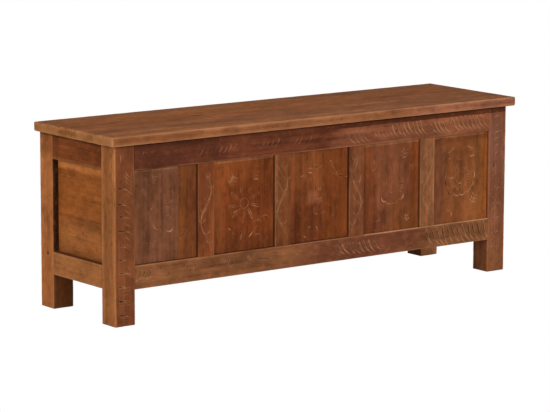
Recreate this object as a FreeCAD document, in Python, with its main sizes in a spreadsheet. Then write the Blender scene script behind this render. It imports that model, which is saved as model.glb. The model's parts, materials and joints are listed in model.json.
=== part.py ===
"""Coffer chest: a framed and panelled wooden chest on four square legs, with a hinged plank lid.

Millimetres. X runs along the chest, the front looks along -Y and Z is up.
The origin is on the floor, below the middle of the chest's outer box.
"""
import FreeCAD, Part
import os

import Sketcher

SIZES = {
    # The whole chest, as its lid measures it
    "lid_length": 1100,
    "lid_depth": 300,
    "overall_height": 400,
    # Lid: planks glued edge to edge, flush with the back; the second plank takes what width is left
    "lid_thickness": 20,
    "lid_end_overhang": 15,
    "lid_front_overhang": 15,
    "lid_gap": 0.5,
    "lid_edge_radius": 3,
    "lid_corner_radius": 6,
    "lid_front_plank_width": 94,
    "lid_third_plank_width": 76,
    "lid_back_plank_width": 68,
    # Battens under the lid
    "batten_width": 40,
    "batten_thickness": 15,
    "batten_clearance": 10,
    "batten_inset": 195,
    # Legs and the rails between them
    "leg_width": 50,
    "leg_depth": 50,
    "ground_clearance": 75,
    "top_rail_height": 55,
    "bottom_rail_height": 50,
    "rail_thickness": 30,
    "muntin_width": 42,
    # Mortise and tenon joints
    "tenon_thickness": 12,
    "tenon_margin": 2,
    "mortise_wall": 4,
    "mortise_end_gap": 1,
    "joint_clearance": 0.2,
    # Panels, loose in grooves
    "panel_thickness": 10,
    "groove_depth": 9,
    "panel_play": 0.8,
    "front_panel_recess": 5,
    "back_panel_recess": 5,
    "end_panel_recess": 14,
    "panel_1_strip_width": 47,
    "panel_3_strip_width": 72,
    # Floor of the chest, lying on cleats
    "floor_thickness": 12,
    "floor_play": 0.8,
    "floor_board_gap": 1.5,
    "cleat_width": 20,
    "cleat_height": 18,
    "cleat_lift": 2,
    "cleat_end_gap": 4,
    # Butt hinges let into the lid and the back rail
    "hinge_length": 75,
    "hinge_inset": 105,
    "hinge_leaf_width": 24,
    "hinge_leaf_thickness": 2,
    "hinge_seat_clearance": 0.3,
    "knuckle_radius": 3.5,
    "knuckle_clearance": 0.5,
    "knuckle_gap": 0.4,
    "pin_radius": 1.75,
    "pin_clearance": 0.05,
    "pin_head_radius": 2.8,
    "pin_head_thickness": 1.2,
    # Countersunk screws
    "hinge_screw_radius": 1.5,
    "hinge_screw_head_radius": 3.3,
    "hinge_screw_length": 15,
    "hinge_screw_spacing": 25,
    "hinge_screw_edge": 9,
    "wood_screw_radius": 2,
    "wood_screw_head_radius": 4,
    "wood_screw_bite": 12,
    "batten_screw_edge": 12,
    "cleat_screw_inset": 60,
    "screw_clearance": 0.05,
}

FRONT_BAYS = 5
BACK_BAYS = 3
FLOOR_BOARDS = 3
HINGE_KNUCKLES = 5

document = FreeCAD.newDocument("coffer_chest")
sheet = document.addObject("Spreadsheet::Sheet", "Sizes")
for row, (alias, value) in enumerate(SIZES.items(), start=1):
    sheet.set(f"A{row}", alias)
    sheet.set(f"B{row}", str(value))
    sheet.setAlias(f"B{row}", alias)
document.recompute()

pieces = {}

# Planes and lengths that several pieces share, as expressions on the sheet
hinge_axis_offset = "(Sizes.knuckle_radius + Sizes.knuckle_clearance)"
hinge_reach = f"({hinge_axis_offset} + Sizes.knuckle_radius)"
lid_end = "(Sizes.lid_length / 2)"
lid_front = f"(-(Sizes.lid_depth + {hinge_reach}) / 2)"
lid_back = f"({lid_front} + Sizes.lid_depth)"
lid_bottom = "(Sizes.overall_height - Sizes.lid_thickness)"
front_face = f"({lid_front} + Sizes.lid_front_overhang)"
back_face = lid_back
end_face = f"({lid_end} - Sizes.lid_end_overhang)"
carcass_top = f"({lid_bottom} - Sizes.lid_gap)"
leg_inside = f"({end_face} - Sizes.leg_width)"
bottom_rail_top = "(Sizes.ground_clearance + Sizes.bottom_rail_height)"
top_rail_low = f"({carcass_top} - Sizes.top_rail_height)"
rail_rise = {"top": (top_rail_low, carcass_top), "bottom": ("Sizes.ground_clearance", bottom_rail_top)}
tongue_length = "(Sizes.groove_depth - Sizes.panel_play)"
tenon_shoulder = "(Sizes.groove_depth + Sizes.tenon_margin)"
tenon_near = "((Sizes.rail_thickness - Sizes.tenon_thickness) / 2)"
tenon_far = "((Sizes.rail_thickness + Sizes.tenon_thickness) / 2)"
floor_low = "(Sizes.ground_clearance + Sizes.cleat_lift + Sizes.cleat_height)"
batten_bottom = f"({lid_bottom} - Sizes.batten_thickness)"
hinge_axis_y = f"({back_face} + {hinge_axis_offset})"
hinge_axis_z = f"({carcass_top} + Sizes.lid_gap / 2)"
frame_leaf_rise = (f"({carcass_top} - Sizes.hinge_leaf_thickness)", carcass_top)
lid_leaf_rise = (lid_bottom, f"({lid_bottom} + Sizes.hinge_leaf_thickness)")
recess = {
    "front": "Sizes.front_panel_recess",
    "back": "Sizes.back_panel_recess",
    "left": "Sizes.end_panel_recess",
    "right": "Sizes.end_panel_recess",
}
outward = {
    "front": FreeCAD.Vector(0, -1, 0),
    "back": FreeCAD.Vector(0, 1, 0),
    "left": FreeCAD.Vector(-1, 0, 0),
    "right": FreeCAD.Vector(1, 0, 0),
}
UP = FreeCAD.Vector(0, 0, 1)
DOWN = FreeCAD.Vector(0, 0, -1)
ALONG = FreeCAD.Vector(1, 0, 0)


def place(item, point):
    """Ties an object's position to three expressions."""
    for axis, text in zip("xyz", point):
        item.setExpression(f"Placement.Base.{axis}", text)


def box(name, low, high):
    """A block between two corners, each given as three expressions."""
    block = document.addObject("Part::Box", name)
    for size, first, last in zip(("Length", "Width", "Height"), low, high):
        block.setExpression(size, f"({last}) - ({first})")
    place(block, low)
    return block


def cylinder(name, point, direction, radius, length):
    """A rod that starts at a point and runs along a direction."""
    rod = document.addObject("Part::Cylinder", name)
    rod.Placement.Rotation = FreeCAD.Rotation(UP, direction)
    rod.setExpression("Radius", radius)
    rod.setExpression("Height", length)
    place(rod, point)
    return rod


def cone(name, point, direction, first_radius, last_radius, length):
    """A tapered rod that starts at a point and runs along a direction."""
    taper = document.addObject("Part::Cone", name)
    taper.Placement.Rotation = FreeCAD.Rotation(UP, direction)
    taper.setExpression("Radius1", first_radius)
    taper.setExpression("Radius2", last_radius)
    taper.setExpression("Height", length)
    place(taper, point)
    return taper


def join(name, parts):
    """Several shapes made one."""
    whole = document.addObject("Part::MultiFuse", name)
    whole.Shapes = parts
    whole.Refine = True
    return whole


def cut(name, base, tools):
    """A shape with other shapes taken out of it."""
    piece = document.addObject("Part::Cut", name)
    piece.Base = base
    piece.Tool = tools[0] if len(tools) == 1 else join(f"{name}_cuts", tools)
    return piece


def keep(name, piece):
    """Names a finished sub-part."""
    piece.Label = name
    pieces[name] = piece
    return piece


def inset(side, distance):
    """The plane that lies a distance inside the outer face of one side of the chest."""
    planes = {
        "front": f"({front_face} + {distance})",
        "back": f"({back_face} - {distance})",
        "left": f"({distance} - {end_face})",
        "right": f"({end_face} - {distance})",
    }
    return planes[side]


def run_between_legs(side):
    """Where the rails of one side start and end, from leg to leg."""
    if side in ("front", "back"):
        return f"(-{leg_inside})", leg_inside
    return f"({front_face} + Sizes.leg_depth)", f"({back_face} - Sizes.leg_depth)"


def side_point(side, along, distance, height):
    """A point given along one side, inside its outer face and above the floor."""
    across = inset(side, distance)
    if side in ("front", "back"):
        return along, across, height
    return across, along, height


def side_box(name, side, run, depth, rise):
    """A block given along one side, inside its outer face and above the floor."""
    near, far = depth if side in ("front", "left") else reversed(depth)
    low = side_point(side, run[0], near, rise[0])
    high = side_point(side, run[1], far, rise[1])
    return box(name, low, high)


def tenon_length(side):
    """How far a rail's tenon enters its leg, stopping short of the tenon that crosses it."""
    leg = "Sizes.leg_width" if side in ("front", "back") else "Sizes.leg_depth"
    return f"({leg} - {tenon_far} - Sizes.mortise_wall)"


def groove_depths(side):
    """The two cheeks of a panel groove, inside the outer face."""
    return (
        f"({recess[side]} - Sizes.joint_clearance)",
        f"({recess[side]} + Sizes.panel_thickness + Sizes.joint_clearance)",
    )


# Screws: each group has a cutter, which leaves its holes in what the screws pass through
def screw_shape(name, point, direction, kind, length, clearance):
    """A countersunk screw driven from a point on a surface, or the hole that it needs."""
    head = f"(Sizes.{kind}_screw_head_radius + {clearance})"
    shank = f"(Sizes.{kind}_screw_radius + {clearance})"
    taper = cone(f"{name}_head", point, direction, head, shank, f"({head} - {shank})")
    rod = cylinder(f"{name}_shank", point, direction, shank, f"({length} + {clearance})")
    return join(name, [taper, rod])


def drive_screws(name, kind, length, places):
    """One node of separate screws, and one cutter for all their holes."""
    screws = []
    holes = []
    for number, (point, direction) in enumerate(places, start=1):
        label = f"{name}_{number}"
        screws.append(screw_shape(label, point, direction, kind, length, "0"))
        holes.append(screw_shape(f"{label}_hole", point, direction, kind, length, "Sizes.screw_clearance"))
    group = document.addObject("Part::Compound", f"{name}_group")
    group.Links = screws
    keep(name, group)
    return join(f"{name}_holes", holes)


# Places of the lid's planks, hinges and battens, which the screws need first
back_plank_edge = f"({lid_back} - Sizes.lid_back_plank_width)"
third_plank_edge = f"({back_plank_edge} - Sizes.lid_third_plank_width)"
second_plank_edge = f"({lid_front} + Sizes.lid_front_plank_width)"
plank_edges = [lid_front, second_plank_edge, third_plank_edge, back_plank_edge, lid_back]
LID_PLANKS = len(plank_edges) - 1

hinge_place = f"({leg_inside} - Sizes.hinge_inset)"
hinge_centres = {"left": f"(-{hinge_place})", "right": hinge_place}
batten_place = f"({leg_inside} - Sizes.batten_inset)"
batten_centres = {"left": f"(-{batten_place})", "middle": "0", "right": batten_place}
batten_front = f"({front_face} + Sizes.rail_thickness + Sizes.batten_clearance)"
batten_back = f"({back_face} - Sizes.rail_thickness - Sizes.batten_clearance)"
hinge_screw_y = f"({hinge_axis_y} - Sizes.hinge_leaf_width + Sizes.hinge_screw_edge)"

frame_screw_places = []
lid_screw_places = []
for centre in hinge_centres.values():
    for step in (-1, 0, 1):
        along = f"({centre} + {step} * Sizes.hinge_screw_spacing)"
        frame_screw_places.append(((along, hinge_screw_y, carcass_top), DOWN))
        lid_screw_places.append(((along, hinge_screw_y, lid_bottom), UP))

batten_screw_rows = [f"({batten_front} + Sizes.batten_screw_edge)"]
for number in range(1, LID_PLANKS - 1):
    batten_screw_rows.append(f"(({plank_edges[number]} + {plank_edges[number + 1]}) / 2)")
batten_screw_rows.append(f"({batten_back} - Sizes.batten_screw_edge)")
batten_screw_places = []
for centre in batten_centres.values():
    for across in batten_screw_rows:
        batten_screw_places.append(((centre, across, batten_bottom), UP))

cleat_face = "(Sizes.rail_thickness + Sizes.cleat_width)"
cleat_screw_height = f"({floor_low} - Sizes.cleat_height / 2)"
cleat_screw_places = []
for side, direction in outward.items():
    start, end = run_between_legs(side)
    spots = [f"({start} + Sizes.cleat_screw_inset)", f"({end} - Sizes.cleat_screw_inset)"]
    if side in ("front", "back"):
        spots.append(f"(({start} + {end}) / 2)")
    for along in spots:
        cleat_screw_places.append((side_point(side, along, cleat_face, cleat_screw_height), direction))

hinge_screw_length = "Sizes.hinge_screw_length"
frame_screw_holes = drive_screws("hinge_frame_screws", "hinge", hinge_screw_length, frame_screw_places)
lid_screw_holes = drive_screws("hinge_lid_screws", "hinge", hinge_screw_length, lid_screw_places)
batten_screw_length = "(Sizes.batten_thickness + Sizes.wood_screw_bite)"
batten_screw_holes = drive_screws("batten_screws", "wood", batten_screw_length, batten_screw_places)
cleat_screw_length = "(Sizes.cleat_width + Sizes.wood_screw_bite)"
cleat_screw_holes = drive_screws("cleat_screws", "wood", cleat_screw_length, cleat_screw_places)


def hinge_seats(name, rise):
    """The shallow recesses that take the hinge leaves, in the lid or in the back rail."""
    seats = []
    reach = "(Sizes.hinge_length / 2 + Sizes.hinge_seat_clearance)"
    front = f"({hinge_axis_y} - Sizes.hinge_leaf_width - Sizes.hinge_seat_clearance)"
    for hand, centre in hinge_centres.items():
        low = (f"({centre} - {reach})", front, rise[0])
        high = (f"({centre} + {reach})", back_face, rise[1])
        seats.append(box(f"{name}_{hand}_hinge_seat", low, high))
    return seats


def make_rail(side, level):
    """A rail with a tenon at each end and a groove for the panels along its inner edge."""
    name = f"{side}_{level}_rail"
    start, end = run_between_legs(side)
    low, high = rail_rise[level]
    stock = side_box(f"{name}_stock", side, (start, end), ("0", "Sizes.rail_thickness"), (low, high))
    tenon_run = (f"({start} - {tenon_length(side)})", f"({end} + {tenon_length(side)})")
    tenon_rise = (f"({low} + {tenon_shoulder})", f"({high} - {tenon_shoulder})")
    tenons = side_box(f"{name}_tenons", side, tenon_run, (tenon_near, tenon_far), tenon_rise)
    groove_rise = (low, f"({low} + Sizes.groove_depth)")
    if level == "bottom":
        groove_rise = (f"({high} - Sizes.groove_depth)", high)
    cuts = [side_box(f"{name}_groove", side, (start, end), groove_depths(side), groove_rise)]
    if level == "bottom":
        cuts.append(cleat_screw_holes)
    elif side == "back":
        cuts += hinge_seats(name, frame_leaf_rise) + [frame_screw_holes]
    keep(name, cut(f"{name}_cut", join(f"{name}_blank", [stock, tenons]), cuts))


def make_bays(side, count, names):
    """The muntins of one side, and the panels between them."""
    start, end = run_between_legs(side)
    bay = f"(({end} - {start} - {count - 1} * Sizes.muntin_width) / {count})"
    panel_depth = (recess[side], f"({recess[side]} + Sizes.panel_thickness)")
    tongue_rise = (f"({bottom_rail_top} - {tongue_length})", f"({top_rail_low} + {tongue_length})")
    panel_rise = (f"({bottom_rail_top} - Sizes.groove_depth)", tongue_rise[1])
    for number in range(1, count + 1):
        bay_start = f"({start} + {number - 1} * ({bay} + Sizes.muntin_width))"
        bay_end = f"({bay_start} + {bay})"
        low, high = f"({bay_start} - {tongue_length})", f"({bay_end} + {tongue_length})"
        boards = {names[number - 1]: (low, high)}
        if side == "front" and number in (1, 3):
            joint = f"({bay_end} - Sizes.panel_{number}_strip_width)"
            boards = {f"{names[number - 1]}_left": (low, joint), f"{names[number - 1]}_right": (joint, high)}
        for name, run in boards.items():
            keep(name, side_box(f"{name}_board", side, run, panel_depth, panel_rise))
        if number < count:
            make_muntin(side, f"{side}_muntin_{number}", bay_end, panel_depth, tongue_rise)


def make_muntin(side, name, start, panel_depth, tongue_rise):
    """An upright between two panels: grooved on both edges, with a tongue at each end."""
    end = f"({start} + Sizes.muntin_width)"
    rise = (bottom_rail_top, top_rail_low)
    stock = side_box(f"{name}_stock", side, (start, end), ("0", "Sizes.rail_thickness"), rise)
    tongues = side_box(f"{name}_tongues", side, (start, end), panel_depth, tongue_rise)
    first_run = (start, f"({start} + Sizes.groove_depth)")
    last_run = (f"({end} - Sizes.groove_depth)", end)
    grooves = []
    for edge, run in (("first", first_run), ("last", last_run)):
        grooves.append(side_box(f"{name}_{edge}_groove", side, run, groove_depths(side), tongue_rise))
    keep(name, cut(f"{name}_cut", join(f"{name}_blank", [stock, tongues]), grooves))


def make_leg(hand, face):
    """A square leg with two mortises and a panel groove on each of its two inner faces."""
    name = f"leg_{face}_{hand}"
    left = hand == "left"
    front = face == "front"
    x_low, x_high = (inset("left", "0"), f"(-{leg_inside})") if left else (leg_inside, end_face)
    y_low, y_high = (front_face, f"({front_face} + Sizes.leg_depth)")
    if not front:
        y_low, y_high = (f"({back_face} - Sizes.leg_depth)", back_face)
    stock = box(f"{name}_stock", (x_low, y_low, "0"), (x_high, y_high, carcass_top))
    cuts = []
    for side, at_start in ((face, left), (hand, front)):
        start, end = run_between_legs(side)
        reach = f"({tenon_length(side)} + Sizes.mortise_end_gap)"
        mortise_run = (f"({start} - {reach})", start) if at_start else (end, f"({end} + {reach})")
        groove_run = (f"({start} - Sizes.groove_depth)", start)
        if not at_start:
            groove_run = (end, f"({end} + Sizes.groove_depth)")
        cheeks = (f"({tenon_near} - Sizes.joint_clearance)", f"({tenon_far} + Sizes.joint_clearance)")
        for level, (low, high) in rail_rise.items():
            shoulder = f"({tenon_shoulder} - Sizes.joint_clearance)"
            rise = (f"({low} + {shoulder})", f"({high} - {shoulder})")
            cuts.append(side_box(f"{name}_{side}_{level}_mortise", side, mortise_run, cheeks, rise))
        rise = (f"({bottom_rail_top} - Sizes.groove_depth)", f"({top_rail_low} + Sizes.groove_depth)")
        cuts.append(side_box(f"{name}_{side}_groove", side, groove_run, groove_depths(side), rise))
    keep(name, cut(f"{name}_cut", stock, cuts))


def make_cleat(side):
    """A strip screwed to the bottom rail of one side, which carries the floor boards."""
    name = f"floor_cleat_{side}"
    run = run_between_legs(side)
    if side in ("left", "right"):
        clear = f"(max(Sizes.leg_depth; {cleat_face}) + Sizes.cleat_end_gap)"
        run = (f"({front_face} + {clear})", f"({back_face} - {clear})")
    rise = (f"({floor_low} - Sizes.cleat_height)", floor_low)
    strip = side_box(f"{name}_strip", side, run, ("Sizes.rail_thickness", cleat_face), rise)
    keep(name, cut(f"{name}_cut", strip, [cleat_screw_holes]))


def make_floor():
    """Long boards laid on the cleats, notched round the legs."""
    reach = inset("right", "(Sizes.rail_thickness + Sizes.floor_play)")
    front = inset("front", "(Sizes.rail_thickness + Sizes.floor_play)")
    back = inset("back", "(Sizes.rail_thickness + Sizes.floor_play)")
    width = f"(({back} - {front} - {FLOOR_BOARDS - 1} * Sizes.floor_board_gap) / {FLOOR_BOARDS})"
    low, high = floor_low, f"({floor_low} + Sizes.floor_thickness)"
    notch_x = f"({leg_inside} - Sizes.floor_play)"
    notch_front = f"({front_face} + Sizes.leg_depth + Sizes.floor_play)"
    notch_back = f"({back_face} - Sizes.leg_depth - Sizes.floor_play)"
    notches = []
    for hand, x_low, x_high in (("left", f"(-{end_face})", f"(-{notch_x})"), ("right", notch_x, end_face)):
        for face, y_low, y_high in (("front", front_face, notch_front), ("back", notch_back, back_face)):
            notches.append(box(f"floor_notch_{face}_{hand}", (x_low, y_low, low), (x_high, y_high, high)))
    for number in range(1, FLOOR_BOARDS + 1):
        y_low = f"({front} + {number - 1} * ({width} + Sizes.floor_board_gap))"
        y_high = f"({y_low} + {width})"
        board = box(f"floor_stock_{number}", (f"(-{reach})", y_low, low), (reach, y_high, high))
        keep(f"floor_board_{number}", cut(f"floor_board_{number}_cut", board, notches))


def plank_sketch(body, along, across):
    """A rectangle on the body's base plane, with one corner at its origin."""
    sketch = body.newObject("Sketcher::SketchObject", f"{body.Name}_outline")
    plane = next(item for item in body.Origin.OriginFeatures if item.Role == "XY_Plane")
    sketch.AttachmentSupport = [(plane, "")]
    sketch.MapMode = "FlatFace"
    width, depth = sheet.evalExpression(along), sheet.evalExpression(across)
    corners = [FreeCAD.Vector(x, y, 0) for x, y in ((0, 0), (width, 0), (width, depth), (0, depth))]
    for number, corner in enumerate(corners):
        sketch.addGeometry(Part.LineSegment(corner, corners[(number + 1) % 4]))
    for number in range(4):
        sketch.addConstraint(Sketcher.Constraint("Coincident", number, 2, (number + 1) % 4, 1))
        direction = "Horizontal" if number % 2 == 0 else "Vertical"
        sketch.addConstraint(Sketcher.Constraint(direction, number))
    sketch.addConstraint(Sketcher.Constraint("Coincident", 0, 1, -1, 1))
    for title, kind, line, length, text in (
        ("along", "DistanceX", 0, width, along),
        ("across", "DistanceY", 1, depth, across),
    ):
        index = sketch.addConstraint(Sketcher.Constraint(kind, line, 1, line, 2, length))
        sketch.renameConstraint(index, title)
        sketch.setExpression(f"Constraints.{title}", text)
    return sketch


def edges_where(shape, test):
    """The names of a shape's edges whose two ends and middle all pass a test."""
    names = []
    for number, edge in enumerate(shape.Edges, start=1):
        middle = edge.valueAt((edge.FirstParameter + edge.LastParameter) / 2)
        points = [vertex.Point for vertex in edge.Vertexes] + [middle]
        if test(points):
            names.append(f"Edge{number}")
    return names


def make_lid_plank(number):
    """A plank of the lid, with its corners rounded and its outer edges eased."""
    name = f"lid_plank_{number}"
    low, high = plank_edges[number - 1], plank_edges[number]
    body = document.addObject("PartDesign::Body", f"{name}_body")
    sketch = plank_sketch(body, "Sizes.lid_length", f"({high} - {low})")
    plank = body.newObject("PartDesign::Pad", f"{name}_pad")
    plank.Profile = sketch
    plank.setExpression("Length", "Sizes.lid_thickness")
    document.recompute()
    # The outer edge of the first plank is the lid's front, and that of the last is its back
    outer = {1: 0.0, LID_PLANKS: sheet.evalExpression(f"{high} - {low}")}.get(number)
    glued = {0.0, sheet.evalExpression(f"{high} - {low}")} - {outer}
    if outer is not None:
        upright = edges_where(
            plank.Shape,
            lambda points: max(p.z for p in points) > min(p.z for p in points)
            and all(abs(p.y - outer) < Part.Precision.confusion() for p in points),
        )
        corners = body.newObject("PartDesign::Fillet", f"{name}_corners")
        corners.Base = (plank, upright)
        corners.setExpression("Radius", "Sizes.lid_corner_radius")
        document.recompute()
        plank = corners
    rim = edges_where(
        plank.Shape,
        lambda points: max(p.z for p in points) - min(p.z for p in points) < Part.Precision.confusion()
        and not any(all(abs(p.y - line) < Part.Precision.confusion() for p in points) for line in glued),
    )
    eased = body.newObject("PartDesign::Fillet", f"{name}_eased")
    eased.Base = (plank, rim)
    eased.setExpression("Radius", "Sizes.lid_edge_radius")
    place(body, (f"(-{lid_end})", low, lid_bottom))
    cuts = [batten_screw_holes]
    if number == LID_PLANKS:
        cuts += hinge_seats("lid", lid_leaf_rise) + [lid_screw_holes]
    keep(name, cut(f"{name}_cut", body, cuts))


def make_batten(place_name, centre):
    """A strip screwed across the underside of the lid, which keeps its planks flat."""
    name = f"lid_batten_{place_name}"
    low = (f"({centre} - Sizes.batten_width / 2)", batten_front, batten_bottom)
    high = (f"({centre} + Sizes.batten_width / 2)", batten_back, lid_bottom)
    keep(name, cut(f"{name}_cut", box(f"{name}_strip", low, high), [batten_screw_holes]))


def make_hinge_leaf(hand, centre, leaf, own, plate_rise, holes):
    """A hinge leaf with its knuckles rolled round the pin, notched for those of the other leaf."""
    name = f"hinge_{hand}_{leaf}_leaf"
    radius = "Sizes.knuckle_radius"
    pitch = f"(Sizes.hinge_length / {HINGE_KNUCKLES})"
    first = f"({centre} - Sizes.hinge_length / 2)"
    bore_radius = "(Sizes.pin_radius + Sizes.pin_clearance)"
    low = (first, f"({hinge_axis_y} - Sizes.hinge_leaf_width)", plate_rise[0])
    high = (f"({first} + Sizes.hinge_length)", hinge_axis_y, plate_rise[1])
    cuts = [holes]
    knuckles = []
    for number in range(HINGE_KNUCKLES):
        start = f"({first} + {number} * {pitch})"
        end = f"({start} + {pitch})"
        if number % 2 == own:
            margin = "(Sizes.knuckle_gap / 2)"
            head = start if number == 0 else f"({start} + {margin})"
            tail = end if number == HINGE_KNUCKLES - 1 else f"({end} - {margin})"
            at = (head, hinge_axis_y, hinge_axis_z)
            knuckles.append(cylinder(f"{name}_knuckle_{number}", at, ALONG, radius, f"({tail} - {head})"))
        else:
            notch_low = (
                f"({start} - Sizes.knuckle_gap / 2)",
                f"({hinge_axis_y} - {radius} - Sizes.knuckle_gap)",
                plate_rise[0],
            )
            notch_high = (f"({end} + Sizes.knuckle_gap / 2)", hinge_axis_y, plate_rise[1])
            cuts.append(box(f"{name}_notch_{number}", notch_low, notch_high))
    at = (first, hinge_axis_y, hinge_axis_z)
    bore = cylinder(f"{name}_bore", at, ALONG, bore_radius, "Sizes.hinge_length")
    plate = cut(f"{name}_notched", box(f"{name}_plate", low, high), cuts)
    keep(name, cut(f"{name}_cut", join(f"{name}_blank", [plate] + knuckles), [bore]))


def make_hinge_pin(hand, centre):
    """A turned pin with a low head at each end, which holds the knuckles together."""
    name = f"hinge_{hand}_pin"
    head = "Sizes.pin_head_thickness"
    first = f"({centre} - Sizes.hinge_length / 2)"
    last = f"({centre} + Sizes.hinge_length / 2)"
    shank_at = (f"({first} - {head})", hinge_axis_y, hinge_axis_z)
    shank_length = f"(Sizes.hinge_length + 2 * {head})"
    shank = cylinder(f"{name}_shank", shank_at, ALONG, "Sizes.pin_radius", shank_length)
    first_head = cylinder(f"{name}_first_head", shank_at, ALONG, "Sizes.pin_head_radius", head)
    last_at = (last, hinge_axis_y, hinge_axis_z)
    last_head = cylinder(f"{name}_last_head", last_at, ALONG, "Sizes.pin_head_radius", head)
    keep(name, join(f"{name}_turned", [shank, first_head, last_head]))


for hand in ("left", "right"):
    for face in ("front", "back"):
        make_leg(hand, face)

for side in ("front", "back", "left", "right"):
    make_rail(side, "top")
    make_rail(side, "bottom")
    make_cleat(side)

make_bays("front", FRONT_BAYS, [f"front_panel_{number}" for number in range(1, FRONT_BAYS + 1)])
make_bays("back", BACK_BAYS, [f"back_panel_{number}" for number in range(1, BACK_BAYS + 1)])
make_bays("left", 1, ["left_panel"])
make_bays("right", 1, ["right_panel"])
make_floor()

for number in range(1, LID_PLANKS + 1):
    make_lid_plank(number)
for place_name, centre in batten_centres.items():
    make_batten(place_name, centre)

for hand, centre in hinge_centres.items():
    make_hinge_leaf(hand, centre, "frame", 0, frame_leaf_rise, frame_screw_holes)
    make_hinge_leaf(hand, centre, "lid", 1, lid_leaf_rise, lid_screw_holes)
    make_hinge_pin(hand, centre)

document.recompute()

for item in document.Objects:
    if "Invalid" in item.State or "Error" in item.State:
        raise RuntimeError(f"{item.Label} failed: {item.State}")
for name, piece in pieces.items():
    if piece.Shape.isNull() or not piece.Shape.isValid() or not piece.Shape.Solids:
        raise RuntimeError(f"{name} has no sound shape")

os.makedirs("parts", exist_ok=True)
for name, piece in pieces.items():
    piece.Shape.exportStep(f"parts/{name}.step")
    print(name, len(piece.Shape.Solids), "solids", round(piece.Shape.Volume), "mm3")
print(len(pieces), "sub-parts")
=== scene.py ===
# %% [markdown]
# # A carved coffer chest
# The chest is a frame of stained hardwood: four legs, rails and muntins hold thin panels, and a lid of
# four planks turns on two hinges at the back. The solids come from the CAD model and keep their places.
# This lesson gives each visible timber its worn edges, its carving and its wood, one step at a time.

# %% Load the frame
import itertools
import json
import math
import random

import bmesh
import bpy
import numpy as np
from mathutils import Matrix, Vector

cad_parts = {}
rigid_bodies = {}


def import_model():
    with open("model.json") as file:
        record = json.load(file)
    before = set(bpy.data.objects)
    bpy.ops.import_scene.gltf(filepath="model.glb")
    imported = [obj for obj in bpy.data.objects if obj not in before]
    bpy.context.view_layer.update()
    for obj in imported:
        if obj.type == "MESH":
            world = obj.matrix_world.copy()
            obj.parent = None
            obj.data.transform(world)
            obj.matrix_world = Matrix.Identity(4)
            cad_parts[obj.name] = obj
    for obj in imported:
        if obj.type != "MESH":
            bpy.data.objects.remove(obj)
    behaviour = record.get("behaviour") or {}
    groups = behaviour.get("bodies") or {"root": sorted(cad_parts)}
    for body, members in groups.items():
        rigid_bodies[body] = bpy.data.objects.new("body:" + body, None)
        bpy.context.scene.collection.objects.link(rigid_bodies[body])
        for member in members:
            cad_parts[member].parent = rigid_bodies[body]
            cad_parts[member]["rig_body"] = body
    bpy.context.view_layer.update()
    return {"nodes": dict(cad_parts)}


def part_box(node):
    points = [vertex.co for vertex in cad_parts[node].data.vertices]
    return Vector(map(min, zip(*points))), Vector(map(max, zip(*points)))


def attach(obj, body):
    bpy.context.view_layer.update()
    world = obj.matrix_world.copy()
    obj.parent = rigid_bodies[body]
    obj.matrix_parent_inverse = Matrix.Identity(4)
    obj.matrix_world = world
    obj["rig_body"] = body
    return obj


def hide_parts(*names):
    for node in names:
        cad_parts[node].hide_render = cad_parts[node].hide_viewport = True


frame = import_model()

# %% [markdown]
# ## Camera
# The view is from the front left, a little above the lid, through a long lens, so that parallel edges
# hardly converge. Its place and angles were worked out from the corners of the chest, whose sizes are
# known. A camera looks along its own -Z, so the three columns of its matrix are right, up and back.

# %% Camera
CAMERA_PLACE = Vector((-3.7048, -4.88065, 1.2401))
CAMERA_YAW, CAMERA_PITCH, CAMERA_ROLL = (math.radians(angle) for angle in (37.0705, 9.791, -0.193))
CAMERA_LENS, SENSOR_WIDTH = 184.2, 36.0

forward = Vector((
    math.sin(CAMERA_YAW) * math.cos(CAMERA_PITCH),
    math.cos(CAMERA_YAW) * math.cos(CAMERA_PITCH),
    -math.sin(CAMERA_PITCH),
))
level = Vector((math.cos(CAMERA_YAW), -math.sin(CAMERA_YAW), 0))
down = forward.cross(level)
right = level * math.cos(CAMERA_ROLL) + down * math.sin(CAMERA_ROLL)
up = level * math.sin(CAMERA_ROLL) - down * math.cos(CAMERA_ROLL)

camera = bpy.data.objects.new("camera", bpy.data.cameras.new("camera"))
camera.data.lens = CAMERA_LENS
camera.data.sensor_width = SENSOR_WIDTH
turn = Matrix((right, up, -forward)).transposed().to_4x4()
camera.matrix_world = Matrix.Translation(CAMERA_PLACE) @ turn
bpy.context.scene.collection.objects.link(camera)
bpy.context.scene.camera = camera
print("camera stands", round(CAMERA_PLACE.length, 2), "m from the chest")

# %% [markdown]
# ## Node helper
# Materials and Geometry Nodes are both trees of nodes. Adding them one by one is long to read, so one
# small class wraps an output socket. Sums, products and quotients of it add Math nodes, and its method
# add() makes any other node: first the settings, then the values or links of the input sockets.

# %% Node helper
NOISE_ROUGHNESS = 0.55


def sign(operation, after=False):
    """A method that adds a Math node with the wire as its first value, or after the other one."""
    return lambda self, other: self.math(operation, *((other, self) if after else (self, other)))


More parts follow.
